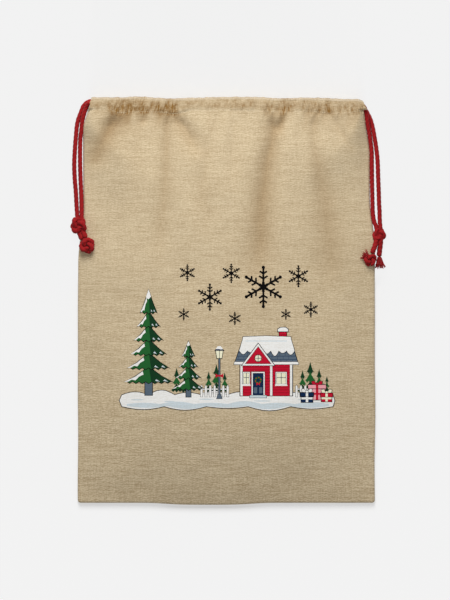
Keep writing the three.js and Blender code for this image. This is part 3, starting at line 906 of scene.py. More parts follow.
def frontHeight(side, bottom, x, y):
    shape = clothShape
    roll = shape["seamRoll"]
    near = np.clip(np.minimum(side, bottom * shape["bottomSharp"]), 0, roll) / roll
    rounded = roll * np.sqrt(1 - (1 - near) ** 2)
    rise = edgeRiseAt(y)
    mouthLift = sack["frontRunZ"] + shape["mouthRise"] - sack["rim"] - roll
    down = sack["hemFootY"] - y
    lift = mix(mouthLift, shape["crownLift"], smooth(down / shape["neckRun"])) - rise
    run = mix(shape["neckSideRun"], shape["sideRun"], smooth(down / shape["sideRun"]))
    across = 1 - (1 - np.clip(side / run, 0, 1)) ** 2
    along = 1 - (1 - np.clip(bottom / shape["bottomRun"], 0, 1)) ** 2
    atMouth = smooth((shape["foldMouth"] - y) / shape["foldFade"])
    body = (lift - foldDepth(x, y) * atMouth) * across * along
    return sack["rim"] + rise + rounded + body


# Unevenness of the front, each as (height, size across, size along, seed)
ripples = {
    "waves": (0.0016, 0.060, 0.075, 1.3), "dimples": (0.0004, 0.020, 0.024, 5.1),
    "streaks": (0.0014, 0.019, 0.170, 8.7), "streaksFrom": 0.02, "streaksTo": 0.26,
    "edgeFade": 0.03, "creaseShare": 0.6,
}


def ripple(kind, x, y):
    height, *size = ripples[kind]
    return height * unevenness(x, y, *size)


def frontSurface(x, y):
    # Height of the front cloth's outer face below the hem, with its unevenness
    side = np.maximum(halfWidthAt(y, x < 0) - np.abs(x), 0)
    bottom = np.maximum(y - sack["bottomY"], 0)
    inside = smooth(side / ripples["edgeFade"]) * smooth(bottom / ripples["edgeFade"])
    down = sack["hemFootY"] - y
    nearHem = (1 - smooth(down / ripples["streaksTo"])) * smooth(down / ripples["streaksFrom"])
    uneven = ripple("waves", x, y) + ripple("dimples", x, y) + ripple("streaks", x, y) * nearHem
    creased = ripples["creaseShare"] * sumOfCreases(x, -down)
    return frontHeight(side, bottom, x, y) + uneven * inside - creased


def distancesFromEdge(reach, step):
    # fine over the rolled seam, even beyond it
    roll = clothShape["seamRoll"]
    fine = [roll * (1 - math.cos(math.radians(a))) for a in range(0, 90, 15)]
    count = round((reach - roll) / step)
    return np.array(fine + [mix(roll, reach, k / count) for k in range(count + 1)])


def columnShares():
    fromEdge = distancesFromEdge(sack["halfWidth"], clothShape["columnStep"]) / sack["halfWidth"]
    return np.concatenate([fromEdge - 1, (1 - fromEdge[:-1])[::-1]])


def rowRises():
    reach = sack["hemFootY"] - sack["bottomY"]
    body = distancesFromEdge(reach - clothShape["neckLength"], clothShape["rowStep"])
    count = round(clothShape["neckLength"] / clothShape["neckStep"])
    neck = reach - clothShape["neckLength"] * (1 - np.arange(1, count) / count)
    return np.concatenate([body, neck])


# Section of each hem as (y, z) from its stitching over the top and back to its turned-in edge, in millimetres
hemSections = {
    "front": [
        (318.9, 24.9), (320.2, 24.95), (322.4, 25.1), (326, 25.3), (331, 25.5), (336, 25.5), (340, 25.3),
        (341.9, 24.5), (342.6, 22.8), (342.7, 20.6), (342.5, 18.5), (341.3, 16.2), (338.5, 15.0), (334, 14.7),
        (329, 14.8), (325, 15.2), (322.4, 16.2), (320.6, 17.5), (319.2, 18.0), (316.5, 18.0), (313.5, 18.0),
    ],
    "back": [
        (318.9, 0), (323, 0), (329, 0), (335, 0), (339, 0.2), (341.4, 1.5), (342.5, 3.7), (342.5, 6.1),
        (341.3, 8.4), (338.5, 9.6), (334, 9.8), (329, 9.7), (325.2, 9.2), (322.6, 7.4), (320.8, 4.6),
        (319.4, 2.8), (316.5, 2.4), (313.5, 2.4),
    ],
}


def hemRings(layer):
    # points, outward directions and distances along the section
    points = [(0, y * mm, z * mm) for y, z in hemSections[layer]]
    path = throughPoints(points, clothShape["hemStep"])[:, 1:]
    ahead = np.gradient(path, axis=0)
    ahead /= np.linalg.norm(ahead, axis=1)[:, None]
    out = np.stack([-ahead[:, 1], ahead[:, 0]], axis=1) * (1 if layer == "front" else -1)
    return path, out, runAlong(path)


hemShape = {
    # along the section from the stitching: the top, the middle of the strip and the start of the inner wall
    "topRun": 0.024, "middleRun": 0.034, "innerRun": 0.028,
    "puff": 0.0009, "puffLift": 0.35,
    "puffNoise": {"front": (0.0075, 0.030, 2.2), "back": (0.0075, 0.030, 6.6)},
    "creaseShare": 0.55, "creaseLimit": 0.0013, "puffFrom": 0.004,
    "innerLimit": 0.0002, "backLimit": 0.0003, "backFlat": 0.0015,
    "stitchPull": 0.0022, "endDrop": 0.0006, "endShare": 0.93, "endRun": 0.006,
    # how far the hem's right end stands out at its foot and top, and its left end draws in on the way up
    "rightFoot": 0.0006, "rightTop": -0.0014,
    "leftLow": -0.0028, "leftLowTo": 0.45, "leftHigh": -0.0020, "leftHighFrom": 0.65, "leftHighRun": 0.25,
    "stray": 0.0005, "strayNoise": (0.007, 1, 4.4), "dropFrom": 0.326, "dropRun": 0.016,
    "rightSlope": 0.0088, "rightSlopeX": 0.2200, "rightSlopeRun": 0.015, "rightSlopeEnd": 0.016,
    "leftSlope": 0.0022, "leftSlopeX": -0.2240, "leftSlopeRun": 0.0065, "slopeHeight": 0.0235,
    "foldAllowance": 0.0006,
}


def sameOnBothWalls(fromStitch):
    # the inner wall of the hem is creased where the outer one is
    middle = hemShape["middleRun"]
    return np.where(fromStitch < middle, fromStitch, 2 * middle - fromStitch)


def hemSwell(layer, x, fromStitch, wallZ):
    # puffed between the creases and drawn in along the stitching
    h = hemShape
    pressed = np.minimum(sumOfCreases(x, sameOnBothWalls(fromStitch)) * h["creaseShare"], h["creaseLimit"])
    puff = h["puff"] * (unevenness(x, fromStitch, *h["puffNoise"][layer]) + h["puffLift"])
    swell = (puff - pressed) * smooth(fromStitch / h["puffFrom"])
    if layer == "back":
        return np.where(wallZ < h["backFlat"], 0, np.minimum(swell, h["backLimit"]))
    return np.where(fromStitch > h["innerRun"], np.minimum(swell, h["innerLimit"]), swell)


def hemEndSlope(x):
    # both ends of the hem slope down, the right one further
    h = hemShape
    right = (np.clip(x - h["rightSlopeX"], 0, h["rightSlopeEnd"]) / h["rightSlopeRun"]) ** 1.5
    left = smooth((h["leftSlopeX"] - x) / h["leftSlopeRun"])
    return h["rightSlope"] * right + h["leftSlope"] * left


def panelPoints(layer, shares):
    # from the bottom seam up to the stitching
    y = sack["bottomY"] + np.repeat(rowRises()[:, None], len(shares), axis=1)
    half = halfWidthAt(y, shares < 0)
    x = shares * (half + np.where(shares > 0, flareAt(y), 0))
    z = frontSurface(x, y) if layer == "front" else backRiseAt(y, (1 - np.abs(shares)) * half)
    return x, y, z


def hemPoints(layer, shares, footZ):
    # from the stitching over the hem's top and down inside to the turned edge
    h = hemShape
    path, out, run = hemRings(layer)
    ringY, ringZ = path[:, :1], path[:, 1:]
    fromStitch = np.repeat(run[:, None], len(shares), axis=1)
    overHem = np.minimum(fromStitch / h["topRun"], 1)
    flare = mix(clothShape["flare"] + h["rightFoot"], h["rightTop"], overHem)
    tuck = h["leftLow"] * smooth(overHem / h["leftLowTo"])
    tuck = tuck + h["leftHigh"] * smooth((overHem - h["leftHighFrom"]) / h["leftHighRun"])
    half = halfWidthAt(np.minimum(ringY, sack["hemFootY"]), shares < 0)
    x = shares * (half + np.where(shares > 0, flare, tuck))
    swell = hemSwell(layer, x, fromStitch, ringZ)
    y = ringY + out[:, :1] * swell
    z = mix(ringZ + out[:, 1:] * swell, footZ, np.exp(-(fromStitch / h["stitchPull"]) ** 2))
    if layer == "front":
        atEnd = smooth((np.abs(shares) - h["endShare"]) / (1 - h["endShare"]))
        z = z - h["endDrop"] * atEnd * np.exp(-(fromStitch / h["endRun"]) ** 2)
    stray = h["stray"] * unevenness(x, np.zeros_like(x), *h["strayNoise"])
    topDrop = alongHem(x, hemLines["top"]) + stray
    y = y - topDrop * smooth((y - h["dropFrom"]) / h["dropRun"])
    y = y - hemEndSlope(x) * np.clip((y - sack["hemFootY"]) / h["slopeHeight"], 0, 1)
    return x, y, z


def makeClothGrid(layer):
    shares = columnShares()
    panel = panelPoints(layer, shares)
    hem = hemPoints(layer, shares, panel[2][-1])
    x, y, z = (np.vstack(both) for both in zip(panel, hem))
    x, y = outlineWave(x, y)
    rise = rowRises()
    run = hemRings(layer)[2]
    flat = np.concatenate([rise, rise[-1] + run + hemShape["foldAllowance"]])
    surface = np.stack([x, y, z], axis=2)

    def place(column, row):
        return surface[row, column], np.stack([shares[column] * sack["halfWidth"], flat[row]], axis=1)

    fromStitch = np.vstack([y[:len(rise)] - sack["hemFootY"], np.repeat(run[:, None], len(shares), axis=1)])
    # painted shade for each point, carried on the mesh as the crease attribute
    dark = creaseShade(layer, x, y, fromStitch)
    piece = shapedGrid(layer + "_cloth", len(shares) - 1, len(flat) - 1, place, dark)
    if layer == "back":
        def turnOver():
            bpy.ops.mesh.select_all(action="SELECT")
            bpy.ops.mesh.flip_normals()
        inEditMode(piece, turnOver)
    cutSlits(piece, layer)
    return piece


shadeShape = {
    # painted shade in the crease attribute: creases, the soft folds of the front, the gathered hem and its
    # top edge
    "creaseWidening": 2.2, "foldLimit": 0.011, "foldTop": 0.326,
    "hemShade": 0.36, "mottle": 0.35, "mottleNoise": (0.011, 0.006, 7.7),
    "hemFrom": 0.001, "hemFull": 0.008, "hemFade": 0.019, "hemTo": 0.023,
    "edgeShade": 0.8, "edgeRun": 0.0255, "edgeHalf": 0.0028,
}


def creaseShade(layer, x, y, fromStitch):
    # how much painted shade each point of the cloth gets, from 0 to 1: in creases and folds, over the
    # gathered hem and along its top edge
    s = shadeShape
    dark = sumOfCreases(x, sameOnBothWalls(fromStitch), "dark", s["creaseWidening"])
    onHem = smooth((fromStitch - s["hemFrom"]) / (s["hemFull"] - s["hemFrom"]))
    onHem = onHem * smooth((s["hemTo"] - fromStitch) / (s["hemTo"] - s["hemFade"]))
    onEdge = np.exp(-((fromStitch - s["edgeRun"]) / s["edgeHalf"]) ** 2)
    # painted shade over the gathered hem, uneven in strength
    dark = dark + onHem * (s["hemShade"] + s["mottle"] * unevenness(x, y, *s["mottleNoise"]))
    dark = dark + s["edgeShade"] * onEdge
    # painted shade in the soft folds of the front
    if layer == "front":
        dark = dark + foldDepth(x, np.minimum(y, s["foldTop"])) / s["foldLimit"]
    return np.clip(dark, 0, 1)


slits = {
    "fromX": 0.2190,
    "front": {"aboveStitch": 0.001, "low": 0.0100, "high": 0.0178},
    "back": {"aboveStitch": -0.007, "low": 0.0072, "high": 0.0120},
}


def cutSlits(piece, layer):
    # near its ends the hem's inner wall is left open for the cord that turns back there
    slit = slits[layer]
    foot = sack["hemFootY"] + slit["aboveStitch"]

    def inSlit(middles):
        x, y, z = middles.T
        return (np.abs(x) > slits["fromX"]) & (y > foot) & (z > slit["low"]) & (z < slit["high"])

    deleteFaces(piece, inSlit)


def bendWithCord(piece):
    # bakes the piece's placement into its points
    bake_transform(piece)


def makeCloth(layer):
    whole = makeClothGrid(layer)
    halves = {}
    for side, sign in (("left", -1), ("right", 1)):
        selectOnly(whole)
        bpy.ops.object.duplicate()
        half = bpy.context.object
        half.name = half.data.name = layer + "_cloth_" + side
        deleteFaces(half, lambda middles: middles[:, 0] * sign < 0)
        applyModifier(half, "SOLIDIFY", thickness=sack["thickness"], offset=-1)
        selectOnly(half)
        bpy.ops.object.shade_smooth_by_angle(angle=math.radians(55))
        dress(half, juteCloth)
        bendWithCord(half)
        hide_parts(layer + "_panel", layer + "_casing")
        halves[side] = half
    bpy.data.objects.remove(whole)
    return halves


frontCloth = makeCloth("front")
print("front cloth made")
backCloth = makeCloth("back")
print("back cloth made")


# Lockstitches along the foot of each hem

stitches = {
    "pitch": 0.0036, "length": 0.0027, "radius": 0.00032, "sides": 6, "reach": 0.2270, "aboveFoot": 0.0002,
    "sink": 0.00008, "backHeight": 0.0002,
    # how one stitch arches, as shares of its length and heights
    "arch": [(-0.5, -0.0007), (-0.42, -0.0001), (-0.2, 0.0001), (0, 0.00012), (0.2, 0.0001), (0.42, -0.0001),
             (0.5, -0.0007)],
}


def topOf(piece, x, y):
    # height of the side that faces up
    return piece.ray_cast((x, y, 0.2), (0, 0, -1))[1].z


def makeStitches(layer, halves):
    path = np.array([(x * stitches["length"], 0, z) for x, z in stitches["arch"]])
    pattern = twistedTube("stitch", path, stitches["radius"], sides=stitches["sides"])
    dress(pattern, hemThread)
    made = {"left": [], "right": []}
    count = round(2 * stitches["reach"] / stitches["pitch"])
    turn = 1 if layer == "front" else -1
    for k in range(count + 1):
        x = mix(-stitches["reach"], stitches["reach"], k / count)
        side = "left" if x < 0 else "right"
        straight = sack["hemFootY"] + stitches["aboveFoot"]
        y = float(outlineWave(np.array([x]), np.array([straight]))[1][0])
        z = topOf(halves[side], x, y) - stitches["sink"] if layer == "front" else stitches["backHeight"]
        one = pattern.copy()
        one.data = pattern.data.copy()
        for vertex in one.data.vertices:
            vertex.co = (x + vertex.co.x, y + vertex.co.y * turn, z + vertex.co.z * turn)
        bpy.context.collection.objects.link(one)
        made[side].append(one)
    bpy.data.objects.remove(pattern)
    for side, pieces in made.items():
        selectOnly(*pieces)
        bpy.ops.object.join()
        row = bpy.context.object
        row.name = row.data.name = layer + "_stitches_" + side
        bendWithCord(row)
        made[side] = row
    return made


for layer, halves in (("front", frontCloth), ("back", backCloth)):
    stitched = makeStitches(layer, halves)
print("hems stitched")


# Seam allowances inside the sack

allowance = {
    "width": 0.0156, "start": 0.0026, "rise": 0.0024, "step": 0.004, "aboveBottom": 0.007, "belowHem": 0.004,
    "wave": 0.0006, "sideWaves": 190, "bottomWaves": 170,
    # section of its two layers, from the seam inwards and back, as shares of the width and of the rise
    "section": np.array([
        (0, 0.2), (0.1, 0.6), (0.3, 1), (0.95, 1), (1, 0.8), (1, 0), (0.5, 0), (0, 0), (0, 0.2),
    ]),
}


def fromSeam(share, along, waves):
    # how far inwards a point of the allowance lies: its edge is a little wavy
    wave = allowance["wave"] * np.sin(along * waves) * share
    return mix(allowance["start"], allowance["width"], share) + wave


def makeAllowance(name, nodeName, side):
    bottom, top = sack["bottomY"] + allowance["aboveBottom"], sack["hemFootY"] - allowance["belowHem"]
    rows = round((top - bottom) / allowance["step"])

    def place(column, row):
        share, height = allowance["section"][column].T
        y = mix(bottom, top, row / rows)
        inward = fromSeam(share, y, allowance["sideWaves"])
        z = sack["rim"] + allowance["rise"] * height + backRiseAt(y, inward)
        x = side * (halfWidthAt(y, side < 0) - inward)
        return np.stack([x, y, z], axis=1), np.stack([share * allowance["width"], y], axis=1)

    return finishAllowance(shapedGrid(name, len(allowance["section"]) - 1, rows, place), nodeName, side)


def finishAllowance(piece, nodeName, side):
    def close():
        mergeDoubles()
        bpy.ops.mesh.select_all(action="DESELECT")
        bpy.ops.mesh.select_mode(type="EDGE")
        bpy.ops.mesh.select_non_manifold()
        bpy.ops.mesh.fill()
        turnOutwards()

    inEditMode(piece, close)
    selectOnly(piece)
    bpy.ops.object.shade_smooth_by_angle(angle=math.radians(40))
    dress(piece, juteCloth)
    if side:
        bendWithCord(piece)
    else:
        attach(piece, "sack_cloth")
    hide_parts(nodeName)
    return piece


def makeBottomAllowance():
    reach = sack["halfWidth"] - allowance["width"] - sack["seamGap"]
    columns = round(2 * reach / allowance["step"])

    def place(column, row):
        share, height = allowance["section"][row].T
        x = mix(-reach, reach, column / columns)
        inward = fromSeam(share, x, allowance["bottomWaves"])
        z = sack["rim"] + allowance["rise"] * height
        return np.stack([x, sack["bottomY"] + inward, z], axis=1), np.stack([x, inward], axis=1)

    piece = shapedGrid("bottom_allowance", columns, len(allowance["section"]) - 1, place)
    return finishAllowance(piece, "bottom_seam", 0)


makeAllowance("left_allowance", "left_seam", -1)
makeAllowance("right_allowance", "right_seam", 1)
makeBottomAllowance()
print("seams made")


# Printed picture: a winter yard in flat inks with black outlines, drawn from back to front, in millimetres

inks = {
    "black": (0.002, 0.002, 0.003), "white": (0.940, 0.940, 0.925), "navy": (0.006, 0.024, 0.078),
    "leaf": (0.018, 0.128, 0.032), "deepLeaf": (0.007, 0.048, 0.018), "pink": (0.930, 0.410, 0.460),
    "red": (0.580, 0.008, 0.034), "cream": (0.950, 0.930, 0.700), "slate": (0.110, 0.155, 0.210),
    "mist": (0.660, 0.750, 0.800),
}
picture = {
    "ground": {"left": -176, "right": 179, "foot": -179, "top": -160},
    "farFirs": [
        (-84, 46), (-70, 34), (-30, 40), (-17, 52), (-3, 38), (128, 42), (141, 56),
        (156, 44), (169, 32),
    ],
    "tallFir": {"x": -131, "foot": -158, "height": 176, "width": 86, "tiers": 6},
    "lowFir": {"x": -64, "foot": -161, "height": 92, "width": 56, "tiers": 4},
    "house": {"left": 18, "right": 116, "foot": -161, "eaves": -106, "ridge": -66},
    "fences": [(-42, 2, -163), (118, 140, -163)],
    "lamp": (-12, -165, -98),
    "gifts": [(139, 166, -168, -143, "pink", "red"), (126, 145, -172, -156, "navy", "white"),
              (160, 177, -171, -157, "red", "cream")],
    "flakes": [(62, 22, 33), (8, 45, 15), (-28, 5, 21), (121, 40, 17), (-66, 46, 13), (142, -16, 12),
               (14, -31, 10), (-72, -24, 9), (100, -24, 8)],
    "outline": 1.1,
    "film": 0.00028,  # metres
    "mesh": 2.8,
}
printed = []


def fill(ink, points):
    printed.append((ink, [(float(x), float(y)) for x, y in points]))


def grow(points, distance):
    # the closed shape moved outwards by a distance, corners mitred
    p = np.array(points, float)
    area = np.sum(p[:, 0] * np.roll(p[:, 1], -1) - np.roll(p[:, 0], -1) * p[:, 1])
    along = np.roll(p, -1, axis=0) - p
    along /= np.maximum(np.linalg.norm(along, axis=1), 1e-9)[:, None]
    out = np.stack([along[:, 1], -along[:, 0]], axis=1) * math.copysign(1, area)
    corner = out + np.roll(out, 1, axis=0)
    corner /= np.maximum(np.sum(corner * out, axis=1), 0.42)[:, None]
    return p + corner * distance


def outlined(ink, points, line=picture["outline"]):
    fill("black", grow(points, line))
    fill(ink, points)


def box(left, right, low, high):
    return [(left, low), (right, low), (right, high), (left, high)]


def oval(x, y, radius, high=None, count=20):
    high = high or radius
    turns = [2 * math.pi * k / count for k in range(count)]
    return [(x + radius * math.cos(a), y + high * math.sin(a)) for a in turns]


def stroke(ink, a, b, width):
    a, b = Vector(a), Vector(b)
    side = (b - a).orthogonal().normalized() * width / 2
    fill(ink, [a + side, a - side, b - side, b + side])


def humps(left, right, base, heights, steps=6):
    # a row of round drifts from left to right
    points = []
    for k, high in enumerate(heights):
        for s in range(steps):
            t = s / steps
            points.append((mix(left, right, (k + t) / len(heights)), base + high * math.sin(math.pi * t)))
    return points + [(right, base)]


def drawGround():
    g = picture["ground"]
    top = humps(g["left"], g["right"], g["top"], [5, 8, 4, 7, 5, 8, 4, 6])
    low = humps(g["right"], g["left"], g["foot"], [-4, -7, -3, -6, -5])
    outlined("white", [(g["left"] - 4, g["top"] - 9), *top, (g["right"] + 3, g["top"] - 10), *low])
    shade = humps(g["right"] - 6, g["left"] + 8, g["foot"] + 0.5, [-3, -5.5, -2.5, -5, -3])
    fill("mist", [*humps(g["left"] + 8, g["right"] - 6, g["foot"] + 4, [2, 4, 2, 5, 2, 3]), *shade])
    for x, y, wide in ((-150, -168, 22), (-96, -171, 18), (-34, -167, 26), (60, -170, 30), (128, -168, 16)):
        fill("mist", oval(x, y, wide / 2, 1.1, 12))


def drawFir(x, foot, height, width, tiers, plain=False):
    # tiers of drooping boughs, the lowest first
    trunk = width * 0.07
    if not plain:
        outlined("slate", box(x - trunk, x + trunk, foot - 2, foot + height * 0.14))
    for tier in range(tiers):
        share = 0.80 * tier / tiers
        low = foot + height * (0.10 + share)
        high = foot + height * (1 if tier == tiers - 1 else min(1, 0.10 + share + 0.99 / tiers))
        half = width / 2 * (1 - share)
        tips = 2 + round(half / 7)
        lowEdge = []
        for k in range(2 * tips):
            at = k / (2 * tips)
            lowEdge.append((x - half + 2 * half * at, low + 1.6 * (2 * at - 1) ** 2 + 3.2 * (k % 2)))
        lowEdge.append((x + half, low + 1.6))
        rightEdge = [(x + half * 0.52, mix(low, high, 0.40)), (x + half * 0.22, mix(low, high, 0.72))]
        leftEdge = [(x - half * 0.22, mix(low, high, 0.72)), (x - half * 0.52, mix(low, high, 0.40))]
        shape = [*lowEdge, *rightEdge, (x, high), *leftEdge]
        if plain:
            fill("leaf" if tier % 2 else "deepLeaf", shape)
            continue
        outlined("leaf", shape)
        lowRight = [point for point in lowEdge if point[0] > x + half * 0.12]
        fill("deepLeaf", [(x + half * 0.10, low + 3.4), *lowRight, *rightEdge, (x, high)])
        # snow lies along the left of each tier
        fill("white", [(x - half * 0.97, low + 2.4), (x - half * 0.80, low + 3.0),
                       (x - half * 0.66, low + 6.4), (x - half * 0.52, low + 5.0),
                       (x - half * 0.38, mix(low, high, 0.34) + 1.5),
                       (x - half * 0.20, mix(low, high, 0.52)), (x - half * 0.24, mix(low, high, 0.70)),
                       (x - half * 0.52, mix(low, high, 0.40))])
        for at in (0.30, 0.62):
            fill("mist", [(x + half * (at - 0.05), low + 4.2), (x + half * (at + 0.14), low + 3.0),
                          (x + half * at, low + 7.0)])
    if not plain:
        fill("white", [(x - width * 0.055, foot + height * 0.925), (x - 0.5, foot + height * 0.905),
                       (x + width * 0.045, foot + height * 0.93), (x, foot + height)])


def drawWindow(x, y, half, high):
    outlined("white", box(x - half - 1.8, x + half + 1.8, y - high - 1.8, y + high + 1.8), 0.8)
    outlined("cream", box(x - half, x + half, y - high, y + high), 0.5)
    stroke("navy", (x, y - high), (x, y + high), 0.9)
    stroke("navy", (x - half, y + 0.15 * high), (x + half, y + 0.15 * high), 0.9)
    sill = y - high
    fill("white", [(x - half - 3, sill - 3.6), (x + half + 3, sill - 3.6), (x + half + 2.4, sill - 1.0),
                   (x, sill - 0.2), (x - half - 2.4, sill - 1.0)])


def drawHouse():
    h = picture["house"]
    left, right, foot, eaves, ridge = (h[key] for key in ("left", "right", "foot", "eaves", "ridge"))
    middle = mix(left, right, 0.36)
    outlined("red", box(right - 27, right - 15, ridge - 14, ridge + 15))
    for y in (ridge + 3, ridge + 7.5, ridge + 12):
        stroke("black", (right - 27, y), (right - 15, y), 0.5)
    outlined("white", [(right - 29.5, ridge + 13), (right - 12.5, ridge + 13), (right - 12.5, ridge + 17),
                       (right - 17, ridge + 20), (right - 25, ridge + 19.5), (right - 29.5, ridge + 17)])
    outlined("red", box(left + 5, right - 5, foot, eaves + 3))
    for k in range(1, 12):
        stroke("black", (left + 5, foot + k * 4.8), (right - 5, foot + k * 4.8), 0.45)
    for x in (left + 7.2, right - 7.2, middle + 22):
        outlined("white", box(x - 1.9, x + 1.9, foot, eaves + 2), 0.5)
    # roof with courses of slates under a cover of snow
    outlined("slate", [(left - 4, eaves), (right + 4, eaves), (right - 8, ridge), (left + 10, ridge)])
    for k in range(1, 7):
        y = mix(eaves, ridge, k / 7)
        edge = 13 * k / 7
        stroke("navy", (left - 4 + edge, y), (right + 4 - edge, y), 0.7)
        for n in range(10):
            x = mix(left - 2 + edge, right + 2 - edge, (n + (0.5 if k % 2 else 0)) / 10)
            stroke("navy", (x, y), (x, y - 5.2), 0.45)
    snow = humps(right - 1.5, left + 3.5, mix(eaves, ridge, 0.52), [-7, -4, -9, -5, -7, -3, -6])
    outlined("white", [(left + 9, ridge - 1), (left + 10, ridge + 4), (mix(left, right, 0.5), ridge + 5.5),
                       (right - 8, ridge + 4), (right - 7, ridge - 1), *snow], 0.9)
    stroke("mist", (left + 14, ridge - 3), (right - 14, ridge - 3), 1.5)
    outlined("white", [(left - 5.5, eaves - 2.4), (right + 5.5, eaves - 2.4), (right + 4.5, eaves + 1.8),
                       (left - 4.5, eaves + 1.8)], 0.7)
    # gable with a round window over the door
    gable = [(middle - 21, eaves - 1), (middle + 21, eaves - 1), (middle, eaves + 27)]
    outlined("white", grow(gable, 3.4))
    outlined("red", gable, 0.7)
    outlined("cream", oval(middle, eaves + 8, 5.4), 0.9)
    stroke("navy", (middle, eaves + 2.6), (middle, eaves + 13.4), 0.9)
    stroke("navy", (middle - 5.4, eaves + 8), (middle + 5.4, eaves + 8), 0.9)
    outlined("white", box(middle - 11, middle + 11, foot, foot + 40), 0.8)
    outlined("navy", box(middle - 8.5, middle + 8.5, foot, foot + 37.5), 0.5)
    for x in (-4.3, 4.3):
        fill("slate", box(middle + x - 2.7, middle + x + 2.7, foot + 4, foot + 14))
    fill("leaf", oval(middle, foot + 26, 6.2))
    fill("navy", oval(middle, foot + 26, 3.0, count=12))
    for k in range(6):
        a = k * math.pi / 3 + 0.3
        fill("red", oval(middle + 4.6 * math.cos(a), foot + 26 + 4.6 * math.sin(a), 0.95, count=8))
    fill("red", [(middle - 3.4, foot + 22.4), (middle, foot + 20), (middle + 3.4, foot + 22.4),
                 (middle + 2.6, foot + 17), (middle, foot + 19.2), (middle - 2.6, foot + 17)])
    drawWindow(mix(middle + 22, right - 7, 0.5), foot + 29, 7.5, 9)
    drawWindow(middle - 20.5 + 0.6, foot + 29, 4.4, 9)
    outlined("mist", box(middle - 14, middle + 14, foot - 3.5, foot + 0.4), 0.7)


def drawLamp(x, foot, top):
    outlined("slate", box(x - 1.2, x + 1.2, foot, top), 0.7)
    base = [(x - 4.5, foot - 1), (x + 4.5, foot - 1), (x + 2.4, foot + 6), (x - 2.4, foot + 6)]
    outlined("slate", base, 0.7)
    outlined("cream", [(x - 4, top), (x + 4, top), (x + 6, top + 13), (x - 6, top + 13)], 1.0)
    stroke("black", (x, top), (x, top + 13), 0.8)
    outlined("navy", [(x - 7.4, top + 13), (x + 7.4, top + 13), (x + 2, top + 19), (x - 2, top + 19)], 0.7)
    fill("white", [(x - 6.4, top + 15), (x - 2.2, top + 15.6), (x + 3, top + 14.8), (x + 6.2, top + 15.2),
                   (x + 2.6, top + 20.4), (x - 2.6, top + 20.4)])
    for sign in (-1, 1):
        fill("red", [(x, foot + 37.5), (x + sign * 6.5, foot + 34), (x + sign * 6.5, foot + 41)])
    fill("red", oval(x, foot + 37.5, 1.9, count=10))


def drawGift(left, right, foot, top, paper, ribbon):
    middle = mix(left, right, 0.5)
    outlined(paper, box(left, right, foot, top - 4))
    outlined(paper, box(left - 1.4, right + 1.4, top - 6, top))
    fill(ribbon, box(middle - 2.0, middle + 2.0, foot, top))
    fill(ribbon, box(left, right, mix(foot, top, 0.40) - 1.7, mix(foot, top, 0.40) + 1.7))
    stroke("black", (left - 1, top - 6.4), (right + 1, top - 6.4), 0.7)
    for sign in (-1, 1):
        loop = [(middle, top + 0.6), (middle + sign * 5, top + 6.6), (middle + sign * 9, top + 5.6),
                (middle + sign * 8, top + 1.2)]
        outlined(ribbon, loop if sign > 0 else loop[::-1], 0.7)
    outlined(ribbon, oval(middle, top + 1.6, 2.1, count=10), 0.6)


def drawFlake(x, y, radius):
    # six arms with two pairs of side branches
    wide = radius * 0.085 + 0.55
    for k in range(6):
        a = k * math.pi / 3 + math.pi / 6
        arm = Vector((math.cos(a), math.sin(a)))
        middle = Vector((x, y))
        stroke("black", middle, middle + arm * radius, wide)
        for at, reach in ((0.42, 0.26), (0.68, 0.22)):
            root = middle + arm * radius * at
            for turn in (-1, 1):
                b = a + turn * math.pi / 3.2
                tip = root + Vector((math.cos(b), math.sin(b))) * radius * reach
                stroke("black", root, tip, wide * 0.85)
        fill("black", oval(*(middle + arm * radius), wide * 0.85, count=8))
        fill("black", oval(*(middle + arm * radius * 0.2), wide * 0.8, count=8))
    fill("black", oval(x, y, radius * 0.17, count=6))


def drawFence(left, right, foot):
    for low, high in ((5, 7), (12, 14)):
        outlined("white", box(left, right, foot + low, foot + high), 0.5)
    count = round((right - left) / 7)
    for k in range(count + 1):
        x = mix(left, right, k / count)
        pale = [(x - 1.7, foot), (x + 1.7, foot), (x + 1.7, foot + 17), (x, foot + 20), (x - 1.7, foot + 17)]
        outlined("white", pale, 0.5)


def drawPicture():
    for x, height in picture["farFirs"]:
        drawFir(x, -160, height, height * 0.52, 3, plain=True)
    drawGround()
    drawFir(**picture["tallFir"])
    for fence in picture["fences"]:
        drawFence(*fence)
    drawFir(**picture["lowFir"])
    drawHouse()
    drawLamp(*picture["lamp"])
    for gift in picture["gifts"]:
        drawGift(*gift)
    for flake in picture["flakes"]:
        drawFlake(*flake)


inkLook = {
    "roughness": 0.9, "specular": 0.05, "bump": 0.4, "bumpHeight": 0.0003,
    "deep": (0.88, 0.86, 0.82), "wear": 0.20, "wearTone": 0.75,
}


def makeInkGroup():
    # ink sits on the yarns, so the weave stays visible and a little cloth shows in its openings
    group, given, result = newGroup(
        "inkOnWeave",
        [("UV", "NodeSocketVector"), ("Ink", "NodeSocketColor")],
        [("Colour", "NodeSocketColor"), ("Height", "NodeSocketFloat")],
    )
    cloth = useGroup(group, weaveGroup, UV=given["UV"])
    worn = calc(group, "MULTIPLY", cloth["Gap"], calc(group, "SUBTRACT", inkLook["wearTone"], cloth["Tone"]))
    worn = calc(group, "MAXIMUM", calc(group, "MULTIPLY", worn, inkLook["wear"]), 0)
    deep = blendColours(group, 1, given["Ink"], inkLook["deep"], "MULTIPLY")
    colour = blendColours(group, clamped(group, cloth["Tone"]), deep, given["Ink"])
    link(group, blendColours(group, worn, colour, jute["dark"]), result["Colour"])
    link(group, cloth["Height"], result["Height"])
    return group


def inkMaterial(ink, group):
    material, tree, shader = newMaterial(ink + "Ink", inkLook["roughness"])
    shader.inputs["Specular IOR Level"].default_value = inkLook["specular"]
    printedOn = useGroup(tree, group, UV=uvOf(tree), Ink=(*inks[ink], 1))
    link(tree, printedOn["Colour"], shader.inputs["Base Color"])
    addBump(tree, shader, printedOn["Height"], inkLook["bump"], inkLook["bumpHeight"])
    return material


